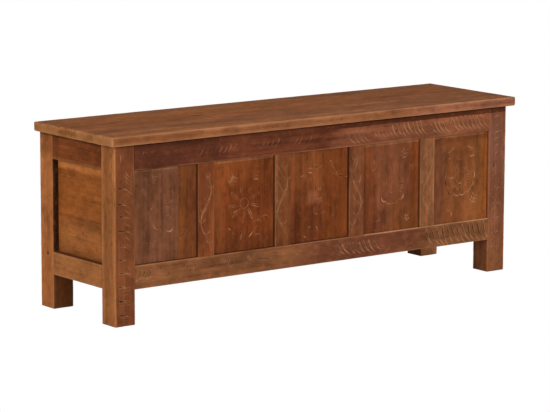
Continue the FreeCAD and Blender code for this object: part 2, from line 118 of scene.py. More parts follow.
class Wire:
    """An output socket of a node tree, which can be used in Python expressions."""

    __add__, __radd__ = sign("ADD"), sign("ADD", after=True)
    __sub__, __rsub__ = sign("SUBTRACT"), sign("SUBTRACT", after=True)
    __mul__, __rmul__ = sign("MULTIPLY"), sign("MULTIPLY", after=True)
    __truediv__ = sign("DIVIDE")
    least, most = sign("MINIMUM"), sign("MAXIMUM")

    def __init__(self, tree, socket=None):
        self.tree = tree
        self.socket = socket

    def fill(self, node, values):
        """Sets the input sockets of a node, or links wires to them."""
        for name, value in values.items():
            if isinstance(value, Wire):
                self.tree.links.new(value.socket, node.inputs[name])
            else:
                node.inputs[name].default_value = value

    def add(self, kind, settings, values, output=0):
        """A new node with its settings and inputs, and one of its outputs as a wire."""
        node = self.tree.nodes.new(kind)
        for name, value in settings.items():
            setattr(node, name, value)
        self.fill(node, values)
        return Wire(self.tree, node.outputs[output]) if len(node.outputs) else None

    def math(self, operation, *values):
        """A Math node of these values."""
        return self.add("ShaderNodeMath", {"operation": operation}, dict(enumerate(values)))

    def vector(self, operation, *values, output=0):
        """A Vector Math node of these values."""
        return self.add("ShaderNodeVectorMath", {"operation": operation}, dict(enumerate(values)), output)

    def size(self):
        """The value without its sign."""
        return self.math("ABSOLUTE", self)

    def ramp(self, low, high):
        """0 below low, 1 above high, and a smooth rise between them."""
        settings = {"interpolation_type": "SMOOTHSTEP"}
        return self.add("ShaderNodeMapRange", settings, {0: self, 1: low, 2: high, 3: 0.0, 4: 1.0})

    def scaled(self, factor):
        """A vector times a number."""
        return self.add("ShaderNodeVectorMath", {"operation": "SCALE"}, {0: self, "Scale": factor})

    def mix(self, first, second, factor):
        """Two colours mixed by a factor from 0 to 1."""
        settings = {"data_type": "RGBA", "clamp_factor": True}
        return self.add("ShaderNodeMix", settings, {0: factor, 6: first, 7: second}, 2)

    def split(self):
        """The x, y and z of a vector."""
        node = self.tree.nodes.new("ShaderNodeSeparateXYZ")
        self.tree.links.new(self.socket, node.inputs[0])
        return [Wire(self.tree, out) for out in node.outputs]

    def noise(self, place, scale, detail):
        """Smooth random values round 0.5 at a place."""
        values = {"Vector": place, "Scale": scale, "Detail": detail, "Roughness": NOISE_ROUGHNESS}
        return self.add("ShaderNodeTexNoise", {}, values)


print("a wire can", ", ".join(name for name in vars(Wire) if not name.startswith("_")))

# %% [markdown]
# ## Studio
# A white floor runs far past the picture, and large soft lamps light the chest from the front, the left
# and above, and weakly from behind, with an even white sky. Rays from the camera see floor and sky as
# plain white light. All other rays see a matt white floor, which throws soft light up at the chest.

# %% Studio floor and sky
FLOOR_REACH = 40.0
FLOOR_WHITE = (0.86, 0.86, 0.86, 1.0)
SKY_WHITE = (1.0, 1.0, 1.0, 1.0)
SKY_LIGHT = 0.32


def seen_directly(tree):
    """1 for rays from the camera, also by a mirror or through glass, and 0 for light on its way."""
    node = tree.nodes.new("ShaderNodeLightPath")
    names = ("Is Camera Ray", "Is Glossy Ray", "Is Transmission Ray")
    camera_ray, glossy_ray, clear_ray = (Wire(tree, node.outputs[name]) for name in names)
    return (camera_ray + glossy_ray + clear_ray).least(1.0)


floor_finish = bpy.data.materials.new("studio_floor")
floor_finish.use_nodes = True
floor_finish.node_tree.nodes.clear()
wire = Wire(floor_finish.node_tree)
matt = wire.add("ShaderNodeBsdfDiffuse", {}, {"Color": FLOOR_WHITE})
glow = wire.add("ShaderNodeEmission", {}, {"Color": SKY_WHITE, "Strength": 1.0})
direct = seen_directly(wire.tree)
surface = wire.add("ShaderNodeMixShader", {}, {0: direct, 1: matt, 2: glow})
wire.add("ShaderNodeOutputMaterial", {}, {"Surface": surface})

floor_mesh = bpy.data.meshes.new("studio_floor")
corners = [(-1, -1, 0), (1, -1, 0), (1, 1, 0), (-1, 1, 0)]
floor_mesh.from_pydata([Vector(corner) * FLOOR_REACH for corner in corners], [], [(0, 1, 2, 3)])
floor_mesh.materials.append(floor_finish)
studio_floor = bpy.data.objects.new("studio_floor", floor_mesh)
bpy.context.scene.collection.objects.link(studio_floor)

sky = bpy.data.worlds.new("studio_sky")
sky.use_nodes = True
sky.node_tree.nodes.clear()
wire = Wire(sky.node_tree)
strength = SKY_LIGHT + seen_directly(wire.tree) * (1 - SKY_LIGHT)
background = wire.add("ShaderNodeBackground", {}, {"Color": SKY_WHITE, "Strength": strength})
wire.add("ShaderNodeOutputWorld", {}, {"Surface": background})
bpy.context.scene.world = sky
bpy.context.scene.view_settings.view_transform = "Standard"
print("floor reaches", FLOOR_REACH, "m; the sky gives", SKY_LIGHT, "of white")

# %% Studio lamps
AIM = Vector((0, 0, 0.2))
# Each lamp has its place and its width in metres, and its power in watts.
LAMPS = {
    "front_lamp": ((-0.5, -4.6, 2.1), 3.0, 122),
    "left_lamp": ((-4.4, -0.6, 2.0), 2.4, 86),
    "top_lamp": ((-0.6, -0.6, 4.4), 3.0, 26),
    "back_lamp": ((3.2, 2.6, 4.6), 2.4, 70),
}
for name, (place, width, power) in LAMPS.items():
    lamp = bpy.data.objects.new(name, bpy.data.lights.new(name, "AREA"))
    lamp.data.shape = "SQUARE"
    lamp.data.size = width
    lamp.data.energy = power
    lamp.location = place
    lamp.rotation_euler = (AIM - Vector(place)).to_track_quat("-Z", "Y").to_euler()
    bpy.context.scene.collection.objects.link(lamp)
    print(name, power, "W")

# %% [markdown]
# ## Sawn timber
# Every timber starts as a sawn block with square edges. Its mesh needs grid lines close to the edges,
# which get rounded, and a fine grid where a carver will cut. A plain block has an even grid all round.
# A carved board has a fine grid on its front only, and one large face on each other side.

# %% Even blocks
EDGE_LINES = (0.0, 0.3, 0.65)


def stations(low, high, step, radius, extra=()):
    """Places of grid lines from low to high: close together in the rounding, and even between."""
    ease = np.array(EDGE_LINES) * radius
    count = max(1, round((high - low - 2 * radius) / step))
    middle = np.linspace(low + radius, high - radius, count + 1)
    return np.unique(np.concatenate([low + ease, middle, high - ease, np.array(extra, float)]))


def grid_faces(numbers):
    """Four-sided faces between the vertex numbers of a grid."""
    faces = [numbers[:-1, :-1], numbers[1:, :-1], numbers[1:, 1:], numbers[:-1, 1:]]
    return np.stack(faces, -1).reshape(-1, 4)


def sawn_block(low, high, steps, radius, extra=((), (), ())):
    """Vertices and faces of a block with an even grid all round."""
    lines = [stations(low[i], high[i], steps[i], radius, extra[i]) for i in range(3)]
    outside = np.zeros([len(line) for line in lines], bool)
    for axis in range(3):
        ends = np.moveaxis(outside, axis, 0)
        ends[0] = True
        ends[-1] = True
    numbers = np.zeros(outside.shape, int)
    numbers[outside] = np.arange(outside.sum())
    vertices = np.stack(np.meshgrid(*lines, indexing="ij"), -1)[outside]
    faces = []
    for axis, turned in ((0, True), (1, False), (2, True)):
        sides = np.moveaxis(numbers, axis, 0)
        for side, flip in ((sides[0], turned), (sides[-1], not turned)):
            made = grid_faces(side)
            faces += (made[:, ::-1] if flip else made).tolist()
    return vertices, faces


SAMPLE = (0, 0, 0), (1, 1, 1)
print("an even block of one step has", len(sawn_block(*SAMPLE, (1, 1, 1), 0.1)[1]), "faces")

# %% Carving boards
EDGE_RINGS = (0.35, 0.7, 1.0)


def carving_board(low, high, step, radius):
    """Vertices and faces of a board with a fine grid on its front, which faces -Y."""
    xs = stations(low[0], high[0], step, radius)
    zs = stations(low[2], high[2], step, radius)
    front = np.stack(np.meshgrid(xs, [low[1]], zs, indexing="ij"), -1).reshape(-1, 3)
    numbers = np.arange(len(front)).reshape(len(xs), len(zs))
    faces = grid_faces(numbers).tolist()
    rim = np.concatenate([numbers[:-1, 0], numbers[-1, :-1], numbers[:0:-1, -1], numbers[0, :0:-1]])
    bends = np.cumsum([0, len(xs) - 1, len(zs) - 1, len(xs) - 1])
    vertices = [front]
    last = rim
    total = len(front)
    for share in EDGE_RINGS:
        ring = front[rim] + (0, share * radius, 0)
        fresh = np.arange(total, total + len(rim))
        faces += np.stack([last, fresh, np.roll(fresh, -1), np.roll(last, -1)], -1).tolist()
        vertices.append(ring)
        total += len(rim)
        last = fresh
    inset = np.array([(1, 0, 1), (-1, 0, 1), (-1, 0, -1), (1, 0, -1)]) * radius
    square = front[rim[bends]]
    shoulder = square + (0, high[1] - low[1] - radius, 0)
    back = square + (0, high[1] - low[1], 0) + inset
    vertices += [shoulder, back]
    for side in range(4):
        after = (side + 1) % 4
        chain = np.roll(last, -bends[side])[:(bends[after] - bends[side]) % len(rim) + 1]
        faces.append(chain[::-1].tolist() + [total + side, total + after])
        faces.append([total + after, total + side, total + 4 + side, total + 4 + after])
    faces.append([total + 7, total + 6, total + 5, total + 4])
    return np.concatenate(vertices), faces


print("a carving board of one step has", len(carving_board(*SAMPLE, 1, 0.1)[1]), "faces")

# %% [markdown]
# ## Carver's tools
# The whole front is covered with strokes of a few gouges: rows of slanting cuts on the rails, dashes and
# notches on the legs, winding stems on the muntins, and on each panel a worn flower with small strokes
# round it. Each tool's mark is drawn once, about one unit long, as open lines. A number at each of their
# points says how wide and deep they cut there.

# %% Strokes
STEM_SWAY, STEM_WAVES, STEM_START = 0.075, 1.35, 0.24
LEAF_BEND, LEAF_POINTS = 0.18, 7


def curve(function, count):
    """Points of a line, from a function of a number that runs from 0 to 1."""
    return [function(k / (count - 1)) for k in range(count)]


def leaf(x, z, lean, length):
    """One small leaf stroke that starts at a point and bends a little."""
    side = math.copysign(LEAF_BEND * length, lean)
    tip_x, tip_z = length * math.sin(lean), length * math.cos(lean)
    return curve(lambda t: (x + tip_x * t + side * math.sin(math.pi * t), z + tip_z * t), LEAF_POINTS)


def winding(t, shift):
    """A point on a stem that winds from side to side on its way up."""
    return (STEM_SWAY * math.sin(2 * math.pi * (STEM_WAVES * t + STEM_START + shift)), t - 0.5)


def taper(tool, t):
    """How wide and deep a stroke is along its way, from 0 to 1."""
    if tool == "ring":
        return 1.0
    if tool == "notch":
        return max(0.16, (1 - t) ** 1.6) * min(1.0, 0.5 + 5 * t)
    if tool == "gouge":
        return min(1.0, 0.5 + 2 * t) * (1 - 0.72 * t ** 1.5)
    return 0.45 + 0.55 * math.sin(math.pi * t) ** 0.6


print("a dash is", round(taper("dash", 0), 2), "wide at its ends and", taper("dash", 0.5), "in the middle")

# %% Carver's tools
TOOL_NAMES = ("gouge", "dash", "notch", "ring", "scallop", "petal", "sprig", "stem", "blade", "arc")
SPRIG_HEIGHTS = (0.2, 0.45, 0.7)
STEM_HEIGHTS = (0.08, 0.2, 0.34, 0.47, 0.6, 0.74, 0.88)
tool_lines = {
    "gouge": [curve(lambda t: (0.5 * t ** 2.2 - 0.22, 0.5 - t), 12)],
    "dash": [curve(lambda t: (0.03 * math.sin(math.pi * t), t - 0.5), 6)],
    "notch": [curve(lambda t: (-0.1 * math.sin(math.pi * t), t), 10)],
    "ring": [curve(lambda t: (math.sin(2 * math.pi * t), math.cos(2 * math.pi * t)), 33)],
    "scallop": [curve(lambda t: (-0.5 * math.cos(math.pi * t), 0.42 * math.sin(math.pi * t)), 10)],
    "petal": [
        curve(lambda t: (0.2 * math.sin(math.pi * t), t), 9),
        curve(lambda t: (-0.2 * math.sin(math.pi * t), t), 9),
    ],
    "blade": [
        curve(lambda t: (0.06 + 0.2 * t ** 1.5, t), 8),
        curve(lambda t: (0.12 * t ** 2 - 0.06, 0.9 * t), 8),
        curve(lambda t: (0.26 - 0.2 * t, 1 - 0.1 * t), 4),
    ],
    "arc": [curve(lambda t: (t - 0.5, 0.26 * math.sin(math.pi * t)), 14)],
    "sprig": [curve(lambda t: (0.08 * math.sin(math.pi * t), t), 9)],
    "stem": [curve(lambda t: winding(t, 0.0), 60), curve(lambda t: winding(t, 0.05), 60)],
}
for height in SPRIG_HEIGHTS:
    tool_lines["sprig"] += [leaf(0.05, height, lean, 0.36) for lean in (0.9, -0.9)]
for height in STEM_HEIGHTS:
    x, z = winding(height, 0.0)
    inner, outer = math.copysign(0.75, -x), math.copysign(0.45, x)
    tool_lines["stem"] += [leaf(x, z, inner, 0.085), leaf(x, z, outer, 0.06)]

tools = bpy.data.collections.new("carver_tools")
for number, tool in enumerate(TOOL_NAMES):
    vertices, edges, widths = [], [], []
    for line in tool_lines[tool]:
        start = len(vertices)
        vertices += [(x, 0, z) for x, z in line]
        edges += [(start + k, start + k + 1) for k in range(len(line) - 1)]
        widths += [taper(tool, k / (len(line) - 1)) for k in range(len(line))]
    mesh = bpy.data.meshes.new(f"tool_{number}_{tool}")
    mesh.from_pydata(vertices, edges, [])
    mesh.attributes.new("strength", "FLOAT", "POINT").data.foreach_set("value", widths)
    tools.objects.link(bpy.data.objects.new(mesh.name, mesh))

# %% [markdown]
# ## Marks
# A carver works by eye, so each mark of a row is a little off in place, slant and length. A board's marks
# are the points of a small mesh: each point names its tool, and says how it is turned, sized and pressed.
# Each board's random numbers come from a source with a fixed seed, so the chest is the same at every run.

# %% Marks
MM = 0.001
# How far the marks of a row and of a ladder are off: share of length, x and z in millimetres, degrees.
ROW_SPREAD, LADDER_SPREAD = (0.12, 1.2, 1.6, 6), (0.15, 1.5, 2.0, 8)
PRESS_SPREAD = 0.3
# The same for the marks of a circle: degrees, share of press and of length. Worn ones keep this press.
ROUND_SPREAD, WORN_PRESS = (2.5, 0.25, 0.06), 0.4


def spaced(first, last, spacing):
    """Numbers from first to last at most, one spacing apart."""
    return [first + k * spacing for k in range(int((last - first) / spacing) + 1)]


class Marks:
    """The list of tool marks on one board, in millimetres on its front and degrees."""

    def __init__(self, seed):
        self.rows = []
        self.chance = random.Random(seed)

    def strike(self, tool, x, z, size, turn=0.0, press=1.0, wide=1.0, mirror=False):
        """One mark, just where it is told."""
        scale = size * MM
        across = -scale if mirror else scale
        self.rows.append((x, z, TOOL_NAMES.index(tool), math.radians(turn), across, scale, press, wide))

    def about(self, value, spread):
        """A random value near another one."""
        return value + self.chance.uniform(-spread, spread)

    def repeat(self, tool, places, size, turn, press, wide, mirror, spread):
        """One mark at each place, by eye."""
        share, off_x, off_z, off_turn = spread
        for x, z in places:
            strong = press * self.about(1.0, PRESS_SPREAD)
            length = self.about(size, share * size)
            x, z = self.about(x, off_x), self.about(z, off_z)
            self.strike(tool, x, z, length, self.about(turn, off_turn), strong, wide, mirror)

    def row(self, tool, first, last, spacing, z, size, turn, press, wide=1.0, mirror=False):
        """Slanting strokes side by side along a rail."""
        places = [(x, z) for x in spaced(first, last, spacing)]
        self.repeat(tool, places, size, turn, press, wide, mirror, ROW_SPREAD)

    def ladder(self, tool, x, first, last, spacing, size, turn, press, wide=1.0):
        """Strokes one above the other along a leg."""
        places = [(x, z) for z in spaced(first, last, spacing)]
        self.repeat(tool, places, size, turn, press, wide, False, LADDER_SPREAD)

    def round(self, tool, x, z, radius, count, size, press, wide=1.0, clear=(0, 360)):
        """Marks in a circle, each turned outwards, and worn faint outside a range of angles."""
        off_turn, off_press, share = ROUND_SPREAD
        for k in range(count):
            angle = self.about(360 * (k + 0.5) / count, off_turn)
            across = radius * math.sin(math.radians(angle))
            rise = radius * math.cos(math.radians(angle))
            strong = press * self.about(1, off_press)
            if not clear[0] <= angle <= clear[1]:
                strong *= WORN_PRESS
            self.strike(tool, x + across, z + rise, self.about(size, share * size), angle, strong, wide)

    def board(self, name, face):
        """The marks as an object whose points carry what the tools need."""
        mesh = bpy.data.meshes.new(name)
        mesh.from_pydata([(row[0] * MM, face, row[1] * MM) for row in self.rows], [], [])
        columns = np.array(self.rows or [(0,) * 8], float)[:len(self.rows)]
        mesh.attributes.new("tool", "INT", "POINT").data.foreach_set("value", columns[:, 2].astype(int))
        for attribute, column in (("turn", 3), ("press", 6), ("wide", 7)):
            mesh.attributes.new(attribute, "FLOAT", "POINT").data.foreach_set("value", columns[:, column])
        sizes = np.stack([columns[:, 4], np.ones(len(columns)), columns[:, 5]], -1)
        mesh.attributes.new("size", "FLOAT_VECTOR", "POINT").data.foreach_set("vector", sizes.ravel())
        return bpy.data.objects.new(name, mesh)


sample = Marks(1)
sample.row("gouge", 0, 100, 25, 0, 20, 0, 1.0)
print("a row with marks every 25 mm has them at", [round(row[0], 1) for row in sample.rows])

# %% [markdown]
# ## Worn timber
# One Geometry Nodes tree finishes every timber. It rounds the edges, more in some places than in others,
# leaves the faint ripples of a hand plane, and sinks the tool marks into the front. The marks are
# instances of the tools on the board's points, made real, and each vertex of the front asks how far the
# nearest stroke is. The tree also stores what the finish needs: the edges, the cuts and where shade is
# painted.

# %% Worn timber tree
def start_tree(name, inputs):
    """A new Geometry Nodes tree with named inputs, which come back as wires."""
    tree = bpy.data.node_groups.new(name, "GeometryNodeTree")
    tree.interface.new_socket("Geometry", in_out="OUTPUT", socket_type="NodeSocketGeometry")
    for label, kind in inputs.items():
        tree.interface.new_socket(label, in_out="INPUT", socket_type="NodeSocket" + kind)
    first = tree.nodes.new("NodeGroupInput")
    return tree, {label: Wire(tree, first.outputs[label]) for label in inputs}


def vector_of(wire, x, y, z):
    """A vector from three values."""
    return wire.add("ShaderNodeCombineXYZ", {}, {0: x, 1: y, 2: z})


timber_tree, given = start_tree("worn_timber", {
    "Geometry": "Geometry", "Low": "Vector", "High": "Vector", "Edge Radius": "Float", "Wear": "Float",
    "Ripple": "Float", "Seed": "Float", "Marks": "Object", "Tools": "Collection", "Face": "Float",
    "Cut": "Float", "Rub": "Float", "Opening Low": "Vector", "Opening High": "Vector",
    "Corner Reach": "Float", "Grime Low": "Vector", "Grime High": "Vector", "Material": "Material",
})
wire = given["Geometry"]
place = wire.add("GeometryNodeInputPosition", {}, {})
seeded = wire.vector("ADD", place, vector_of(wire, given["Seed"], given["Seed"], given["Seed"]))
print("worn_timber has", len(given), "inputs")

# %% Worn edges
# Waves per metre of the unevenness of edges, and of the plane's ripples.
EDGE_WAVES, PLANE_WAVES = 38.0, 16.0
NO_LENGTH = 1e-6
uneven = wire.noise(seeded, EDGE_WAVES, 3.0)
radius = given["Edge Radius"] * (1.0 + given["Wear"] * (uneven * 2.4 - 1.2))
spread = vector_of(wire, radius, radius, radius)
inner_low = wire.vector("ADD", given["Low"], spread)
inner_high = wire.vector("SUBTRACT", given["High"], spread)
core = wire.vector("MINIMUM", wire.vector("MAXIMUM", place, inner_low), inner_high)
outward = wire.vector("SUBTRACT", place, core)
reach = wire.vector("LENGTH", outward, output=1)
pull = (radius / reach.most(NO_LENGTH)).least(1.0)
eased = wire.vector("ADD", core, outward.scaled(pull))
plane_marks = (wire.noise(seeded, PLANE_WAVES, 2.0) - 0.5) * given["Ripple"]
rippled = wire.vector("ADD", eased, wire.vector("NORMALIZE", outward).scaled(plane_marks))
from_low = wire.vector("SUBTRACT", place, given["Low"])
from_high = wire.vector("SUBTRACT", given["High"], place)
near_x, near_y, near_z = wire.vector("MINIMUM", from_low, from_high).split()
largest = near_x.most(near_y).most(near_z)
smallest = near_x.least(near_y).least(near_z)
to_edge = near_x + near_y + near_z - largest - smallest
edge_width = given["Edge Radius"] * (0.7 + 2.2 * uneven)
arris = 1.0 - to_edge.ramp(0.0, edge_width)
print("edges take", len(timber_tree.nodes), "nodes")

# %% Carved strokes
LINE_HALF_WIDTH, LINE_DEPTH = 0.0012, 0.0007
LEAST_HALF_WIDTH, LINE_STEP = 0.0008, 0.0008
FRONT_TOLERANCE = 0.00002
RUB_WAVES = 46.0


def attribute(wire, name, kind="FLOAT"):
    """A named attribute as a wire of a Geometry Nodes tree."""
    return wire.add("GeometryNodeInputNamedAttribute", {"data_type": kind}, {"Name": name})


marks = wire.add("GeometryNodeObjectInfo", {}, {"Object": given["Marks"]}, "Geometry")
tool_set = wire.add(
    "GeometryNodeCollectionInfo", {},
    {"Collection": given["Tools"], "Separate Children": True, "Reset Children": True},
)
slant = wire.add("FunctionNodeEulerToRotation", {}, {0: vector_of(wire, 0.0, attribute(wire, "turn"), 0.0)})
struck = wire.add("GeometryNodeInstanceOnPoints", {}, {
    "Points": marks, "Instance": tool_set, "Pick Instance": True,
    "Instance Index": attribute(wire, "tool", "INT"), "Rotation": slant,
    "Scale": attribute(wire, "size", "FLOAT_VECTOR"),
})
real_marks = wire.add("GeometryNodeRealizeInstances", {}, {0: struck})
lines = wire.add("GeometryNodeMeshToCurve", {}, {0: real_marks})
fine = wire.add("GeometryNodeResampleCurve", {"mode": "LENGTH"}, {"Curve": lines, "Length": LINE_STEP})
strokes = wire.add("GeometryNodeCurveToMesh", {}, {0: fine})
distance = wire.add(
    "GeometryNodeProximity", {"target_element": "EDGES"}, {0: strokes, "Source Position": place}, "Distance"
)
nearest = wire.add(
    "GeometryNodeSampleNearest", {"domain": "POINT"}, {"Geometry": strokes, "Sample Position": place}
)


def at_stroke(value):
    """A value of the nearest point of a stroke."""
    values = {"Geometry": strokes, "Value": value, "Index": nearest}
    return wire.add("GeometryNodeSampleIndex", {"data_type": "FLOAT", "domain": "POINT"}, values)


strength = attribute(wire, "strength")
half_width = at_stroke(strength * attribute(wire, "wide") * LINE_HALF_WIDTH)
depth = at_stroke(strength * attribute(wire, "press") * LINE_DEPTH)
side = distance / half_width.most(LEAST_HALF_WIDTH)
x, y, z = place.split()
behind = y - given["Face"]
on_front = behind.math("LESS_THAN", behind, FRONT_TOLERANCE)
rubbed = wire.noise(seeded, RUB_WAVES, 2.0).ramp(0.36, 0.62)
left_deep = 1.0 - given["Rub"] * (1.0 - rubbed)
cut = (1.0 - side * side).most(0.0) * depth * left_deep * on_front * given["Cut"]
carved = wire.vector("ADD", rippled, vector_of(wire, 0.0, cut, 0.0))
print("with strokes it takes", len(timber_tree.nodes), "nodes")

# %% Painted shade in corners, and the end of the tree
def end_tree(geometry, material):
    """Ends a tree: instances become real faces, and the finish is set."""
    real = geometry.add("GeometryNodeRealizeInstances", {}, {0: geometry})
    dressed = geometry.add("GeometryNodeSetMaterial", {}, {"Geometry": real, "Material": material})
    geometry.add("NodeGroupOutput", {}, {0: dressed})


# Painted shade: faces that look down or up get a share of it per axis, and upright faces get it near the
# edges of an opening.
normal = wire.add("GeometryNodeInputNormal", {}, {})
looks_up = wire.vector("MAXIMUM", normal, (0, 0, 0))
looks_down = wire.vector("MAXIMUM", wire.vector("MULTIPLY", normal, (-1, -1, -1)), (0, 0, 0))
dark_high = wire.vector("DOT_PRODUCT", looks_up, given["Grime High"], output=1)
dark_low = wire.vector("DOT_PRODUCT", looks_down, given["Grime Low"], output=1)
upright = 1.0 - normal.split()[2].size()
left, _, bottom = given["Opening Low"].split()
right, _, top = given["Opening High"].split()
to_frame = (x - left).least(right - x).least((z - bottom).least(top - z))
corner = 1.0 - to_frame.ramp(given["Corner Reach"] * 0.3, given["Corner Reach"])
grime = (dark_high + dark_low).most(corner * upright)
shaped = given["Geometry"]
for label, value in (("arris", arris), ("cut", cut * (1 / MM)), ("grime", grime)):
    shaped = wire.add(
        "GeometryNodeStoreNamedAttribute", {"data_type": "FLOAT", "domain": "POINT"},
        {"Geometry": shaped, "Name": label, "Value": value},
    )
shaped = wire.add("GeometryNodeSetPosition", {}, {"Geometry": shaped, "Position": carved})
shaped = wire.add("GeometryNodeSetShadeSmooth", {}, {"Geometry": shaped, "Shade Smooth": True})
end_tree(shaped, given["Material"])
print("worn_timber has", len(timber_tree.nodes), "nodes")

# %% [markdown]
# ## Stained wood
# The timbers are old boards, planed, stained a warm red-brown and waxed. No two are alike: bands and
# streaks run along the grain, short dark pores lie between them, and the stain took lighter or darker in
# patches, while some patches are painted light and painted shadow. Edges are paler where the stain is rubbed
# off. Shallow cuts get a painted highlight on their rims, and deep cuts, corners and recesses painted shade.
# One function makes such a finish for a board, from three tones, the way its grain runs, a seed for its
# pattern and a list of patches.

# %% Colours
DARK_SHARE, LIGHT_SHARE = 0.54, 1.55


def paint(red, green, blue):
    """A colour as a picture shows it, from 0 to 255, in the linear numbers that a shader takes."""
    shares = [value / 255 for value in (red, green, blue)]
    return (*(s / 12.92 if s <= 0.04045 else ((s + 0.055) / 1.055) ** 2.4 for s in shares), 1.0)


def shade(colour, factor):
    """A colour made darker or lighter."""
    return (*(value * factor for value in colour[:3]), 1.0)


def stock(red, green, blue):
    """Three tones of one timber: its body, its dark streaks and its light ones."""
    body = paint(red, green, blue)
    return body, shade(body, DARK_SHARE), shade(body, LIGHT_SHARE)


# Pale worn edges, a painted highlight for the rims of shallow cuts, and paler end grain.
WORN, CUT_HIGHLIGHT, END_GRAIN = paint(176, 122, 82), paint(186, 138, 100), paint(160, 108, 66)
# Painted shade for corners and recesses, also the dark of the panels' joints, and painted shade for deep
# cuts.
GRIME_AND_SHADE, CUT_SHADE = paint(30, 16, 11), paint(60, 29, 15)
print("worn edges throw back", [round(value, 2) for value in WORN[:3]], "of red, green and blue light")

# %% Stained wood
WAX_SHINE = 0.015
SEED_SHIFT = Vector((0.731, 0.417, 0.293))
GRAIN_TURN = {"x": (0, 0, 0), "y": (0, 0, -math.pi / 2), "z": (0, math.pi / 2, 0)}
# Each pattern has its waves per metre along the grain and across it, and its detail.
GRAIN = {
    "band": (1.3, 26.0, 3.0), "streak": (3.0, 110.0, 4.0), "fibre": (22.0, 900.0, 2.0),
    "pore": (55.0, 1300.0, 1.0), "blotch": (11.0, 24.0, 4.0), "speck": (70.0, 170.0, 2.0),
    "mottle": (60.0, 85.0, 3.0), "end": (8.0, 24.0, 2.0),
}


def new_finish(name):
    """A new material and a wire of its tree."""
    finish = bpy.data.materials.new(name)
    finish.use_nodes = True
    return finish, Wire(finish.node_tree)


def stained_wood(
    name, grain, tones, seed, patches=(), worn=0.7, edge=WORN, pale_cut=0.55, knots=(), ends=0.0,
    shine=WAX_SHINE,
):
    """A finish for one board. A patch has ranges (low, high, soft edge) along axes, a tint and an amount."""
    finish, wire = new_finish(name)
    place = wire.add("ShaderNodeTexCoord", {}, {}, "Object")
    values = {"Vector": place, "Rotation": GRAIN_TURN[grain], "Location": SEED_SHIFT * seed}
    turned = wire.add("ShaderNodeMapping", {}, values)

    def pattern(label):
        along, across, detail = GRAIN[label]
        return wire.noise(wire.vector("MULTIPLY", turned, (along, across, across)), 1.0, detail)

    def stored(label):
        return wire.add("ShaderNodeAttribute", {"attribute_name": label}, {}, "Fac")

    body, dark, light = tones
    streak, fibre, blotch, mottle = (pattern(label) for label in ("streak", "fibre", "blotch", "mottle"))
    pore = pattern("pore").ramp(0.62, 0.72)
    tone = pattern("band") * 0.33 + streak * 0.29 + blotch * 0.38
    colour = wire.mix(dark, body, tone.ramp(0.38, 0.51))
    colour = wire.mix(colour, light, tone.ramp(0.51, 0.66))
    axes = dict(zip("xyz", place.split()))
    for ranges, tint, amount in patches:
        inside = amount
        for axis, (low, high, soft) in ranges.items():
            along = axes[axis] + (blotch - 0.5) * (4 * soft)
            inside = inside * along.ramp(low - soft, low + soft)
            inside = inside * (1.0 - along.ramp(high - soft, high + soft))
        tinted = wire.mix(shade(tint, 0.7), shade(tint, 1.25), tone.ramp(0.4, 0.62))
        colour = wire.mix(colour, tinted, inside)
    speck = pattern("speck").ramp(0.64, 0.74)
    colour = wire.mix(colour, shade(dark, 0.55), pore.most(speck * blotch.ramp(0.5, 0.35)) * 0.6)
    colour = wire.mix(colour, shade(dark, 0.8), fibre.ramp(0.5, 0.75) * 0.35)
    colour = wire.mix(colour, dark, mottle.ramp(0.5, 0.7) * 0.4)
    colour = wire.mix(colour, light, mottle.ramp(0.5, 0.3) * 0.3)
    if ends:
        facing = wire.add("ShaderNodeTexCoord", {}, {}, "Normal").split()[0].size()
        bare = 0.35 + 0.65 * pattern("end").ramp(0.42, 0.62)
        colour = wire.mix(colour, END_GRAIN, facing.ramp(0.7, 0.95) * bare * ends)
    for knot, length, width in knots:
        apart = wire.vector("SUBTRACT", place, knot)
        near = wire.vector("LENGTH", wire.vector("DIVIDE", apart, (length, width, width)), output=1)
        spot = 1.0 - (near + (streak - 0.5) * 0.8).ramp(0.25, 1.0)
        colour = wire.mix(colour, shade(dark, 0.35), spot * 0.85)
    rubbed = stored("arris") * (streak * 0.7 + blotch * 0.7).ramp(0.45, 0.85) * worn
    colour = wire.mix(colour, edge, rubbed)
    cut, grime = stored("cut"), stored("grime")
    # A painted highlight on the shallow rims of cuts.
    rim_highlight = cut.ramp(0.08, 0.5) * (1.0 - cut.ramp(0.55, 0.9)) * (blotch + fibre).ramp(0.65, 1.05)
    colour = wire.mix(colour, CUT_HIGHLIGHT, rim_highlight * pale_cut)
    # Painted shade in the deep middle of cuts.
    colour = wire.mix(colour, CUT_SHADE, cut.ramp(0.5, 0.95) * 0.55 + cut.ramp(1.5, 2.5) * 0.35)
    # Painted shade in corners, in recesses and under the lid, where the tree stored it.
    colour = wire.mix(colour, GRIME_AND_SHADE, grime * (0.65 + blotch * 0.5))
    gloss = 0.52 + (fibre - 0.5) * 0.3 + pore * 0.12 + grime * 0.25
    height = streak * 0.5 + fibre * 0.5 - pore * 0.6
    bump = wire.add("ShaderNodeBump", {}, {"Strength": 0.3, "Distance": 0.0006, "Height": height})
    wire.fill(finish.node_tree.nodes["Principled BSDF"], {
        "Base Color": colour, "Roughness": gloss, "Normal": bump, "Specular IOR Level": shine,
    })
    return finish


print("stained wood has", len(GRAIN), "patterns")

# %% [markdown]
# ## From block to timber
# One function takes a sawn block through the tree. A modifier's input is set by its socket's identifier,
# and new_from_object turns what the tree made into a plain mesh, which then replaces the block. The
# rounding box may be larger than the board: where a timber meets another one, its edge stays square.

# %% From block to timber
FAR = 1.0
WEAR, RIPPLE = 0.6, 0.0002
SHARP_ANGLE = math.radians(42)
CORNER, RUBBED = 0.006, 0.3
SEED_STEP = 1.7
# No painted shade on any face, and an opening so wide that no edge gets painted shade.
NO_SHADE, EVERYWHERE = (0, 0, 0), ((-FAR, 0, -FAR), (FAR, 0, FAR))
EMPTY = Marks(0)


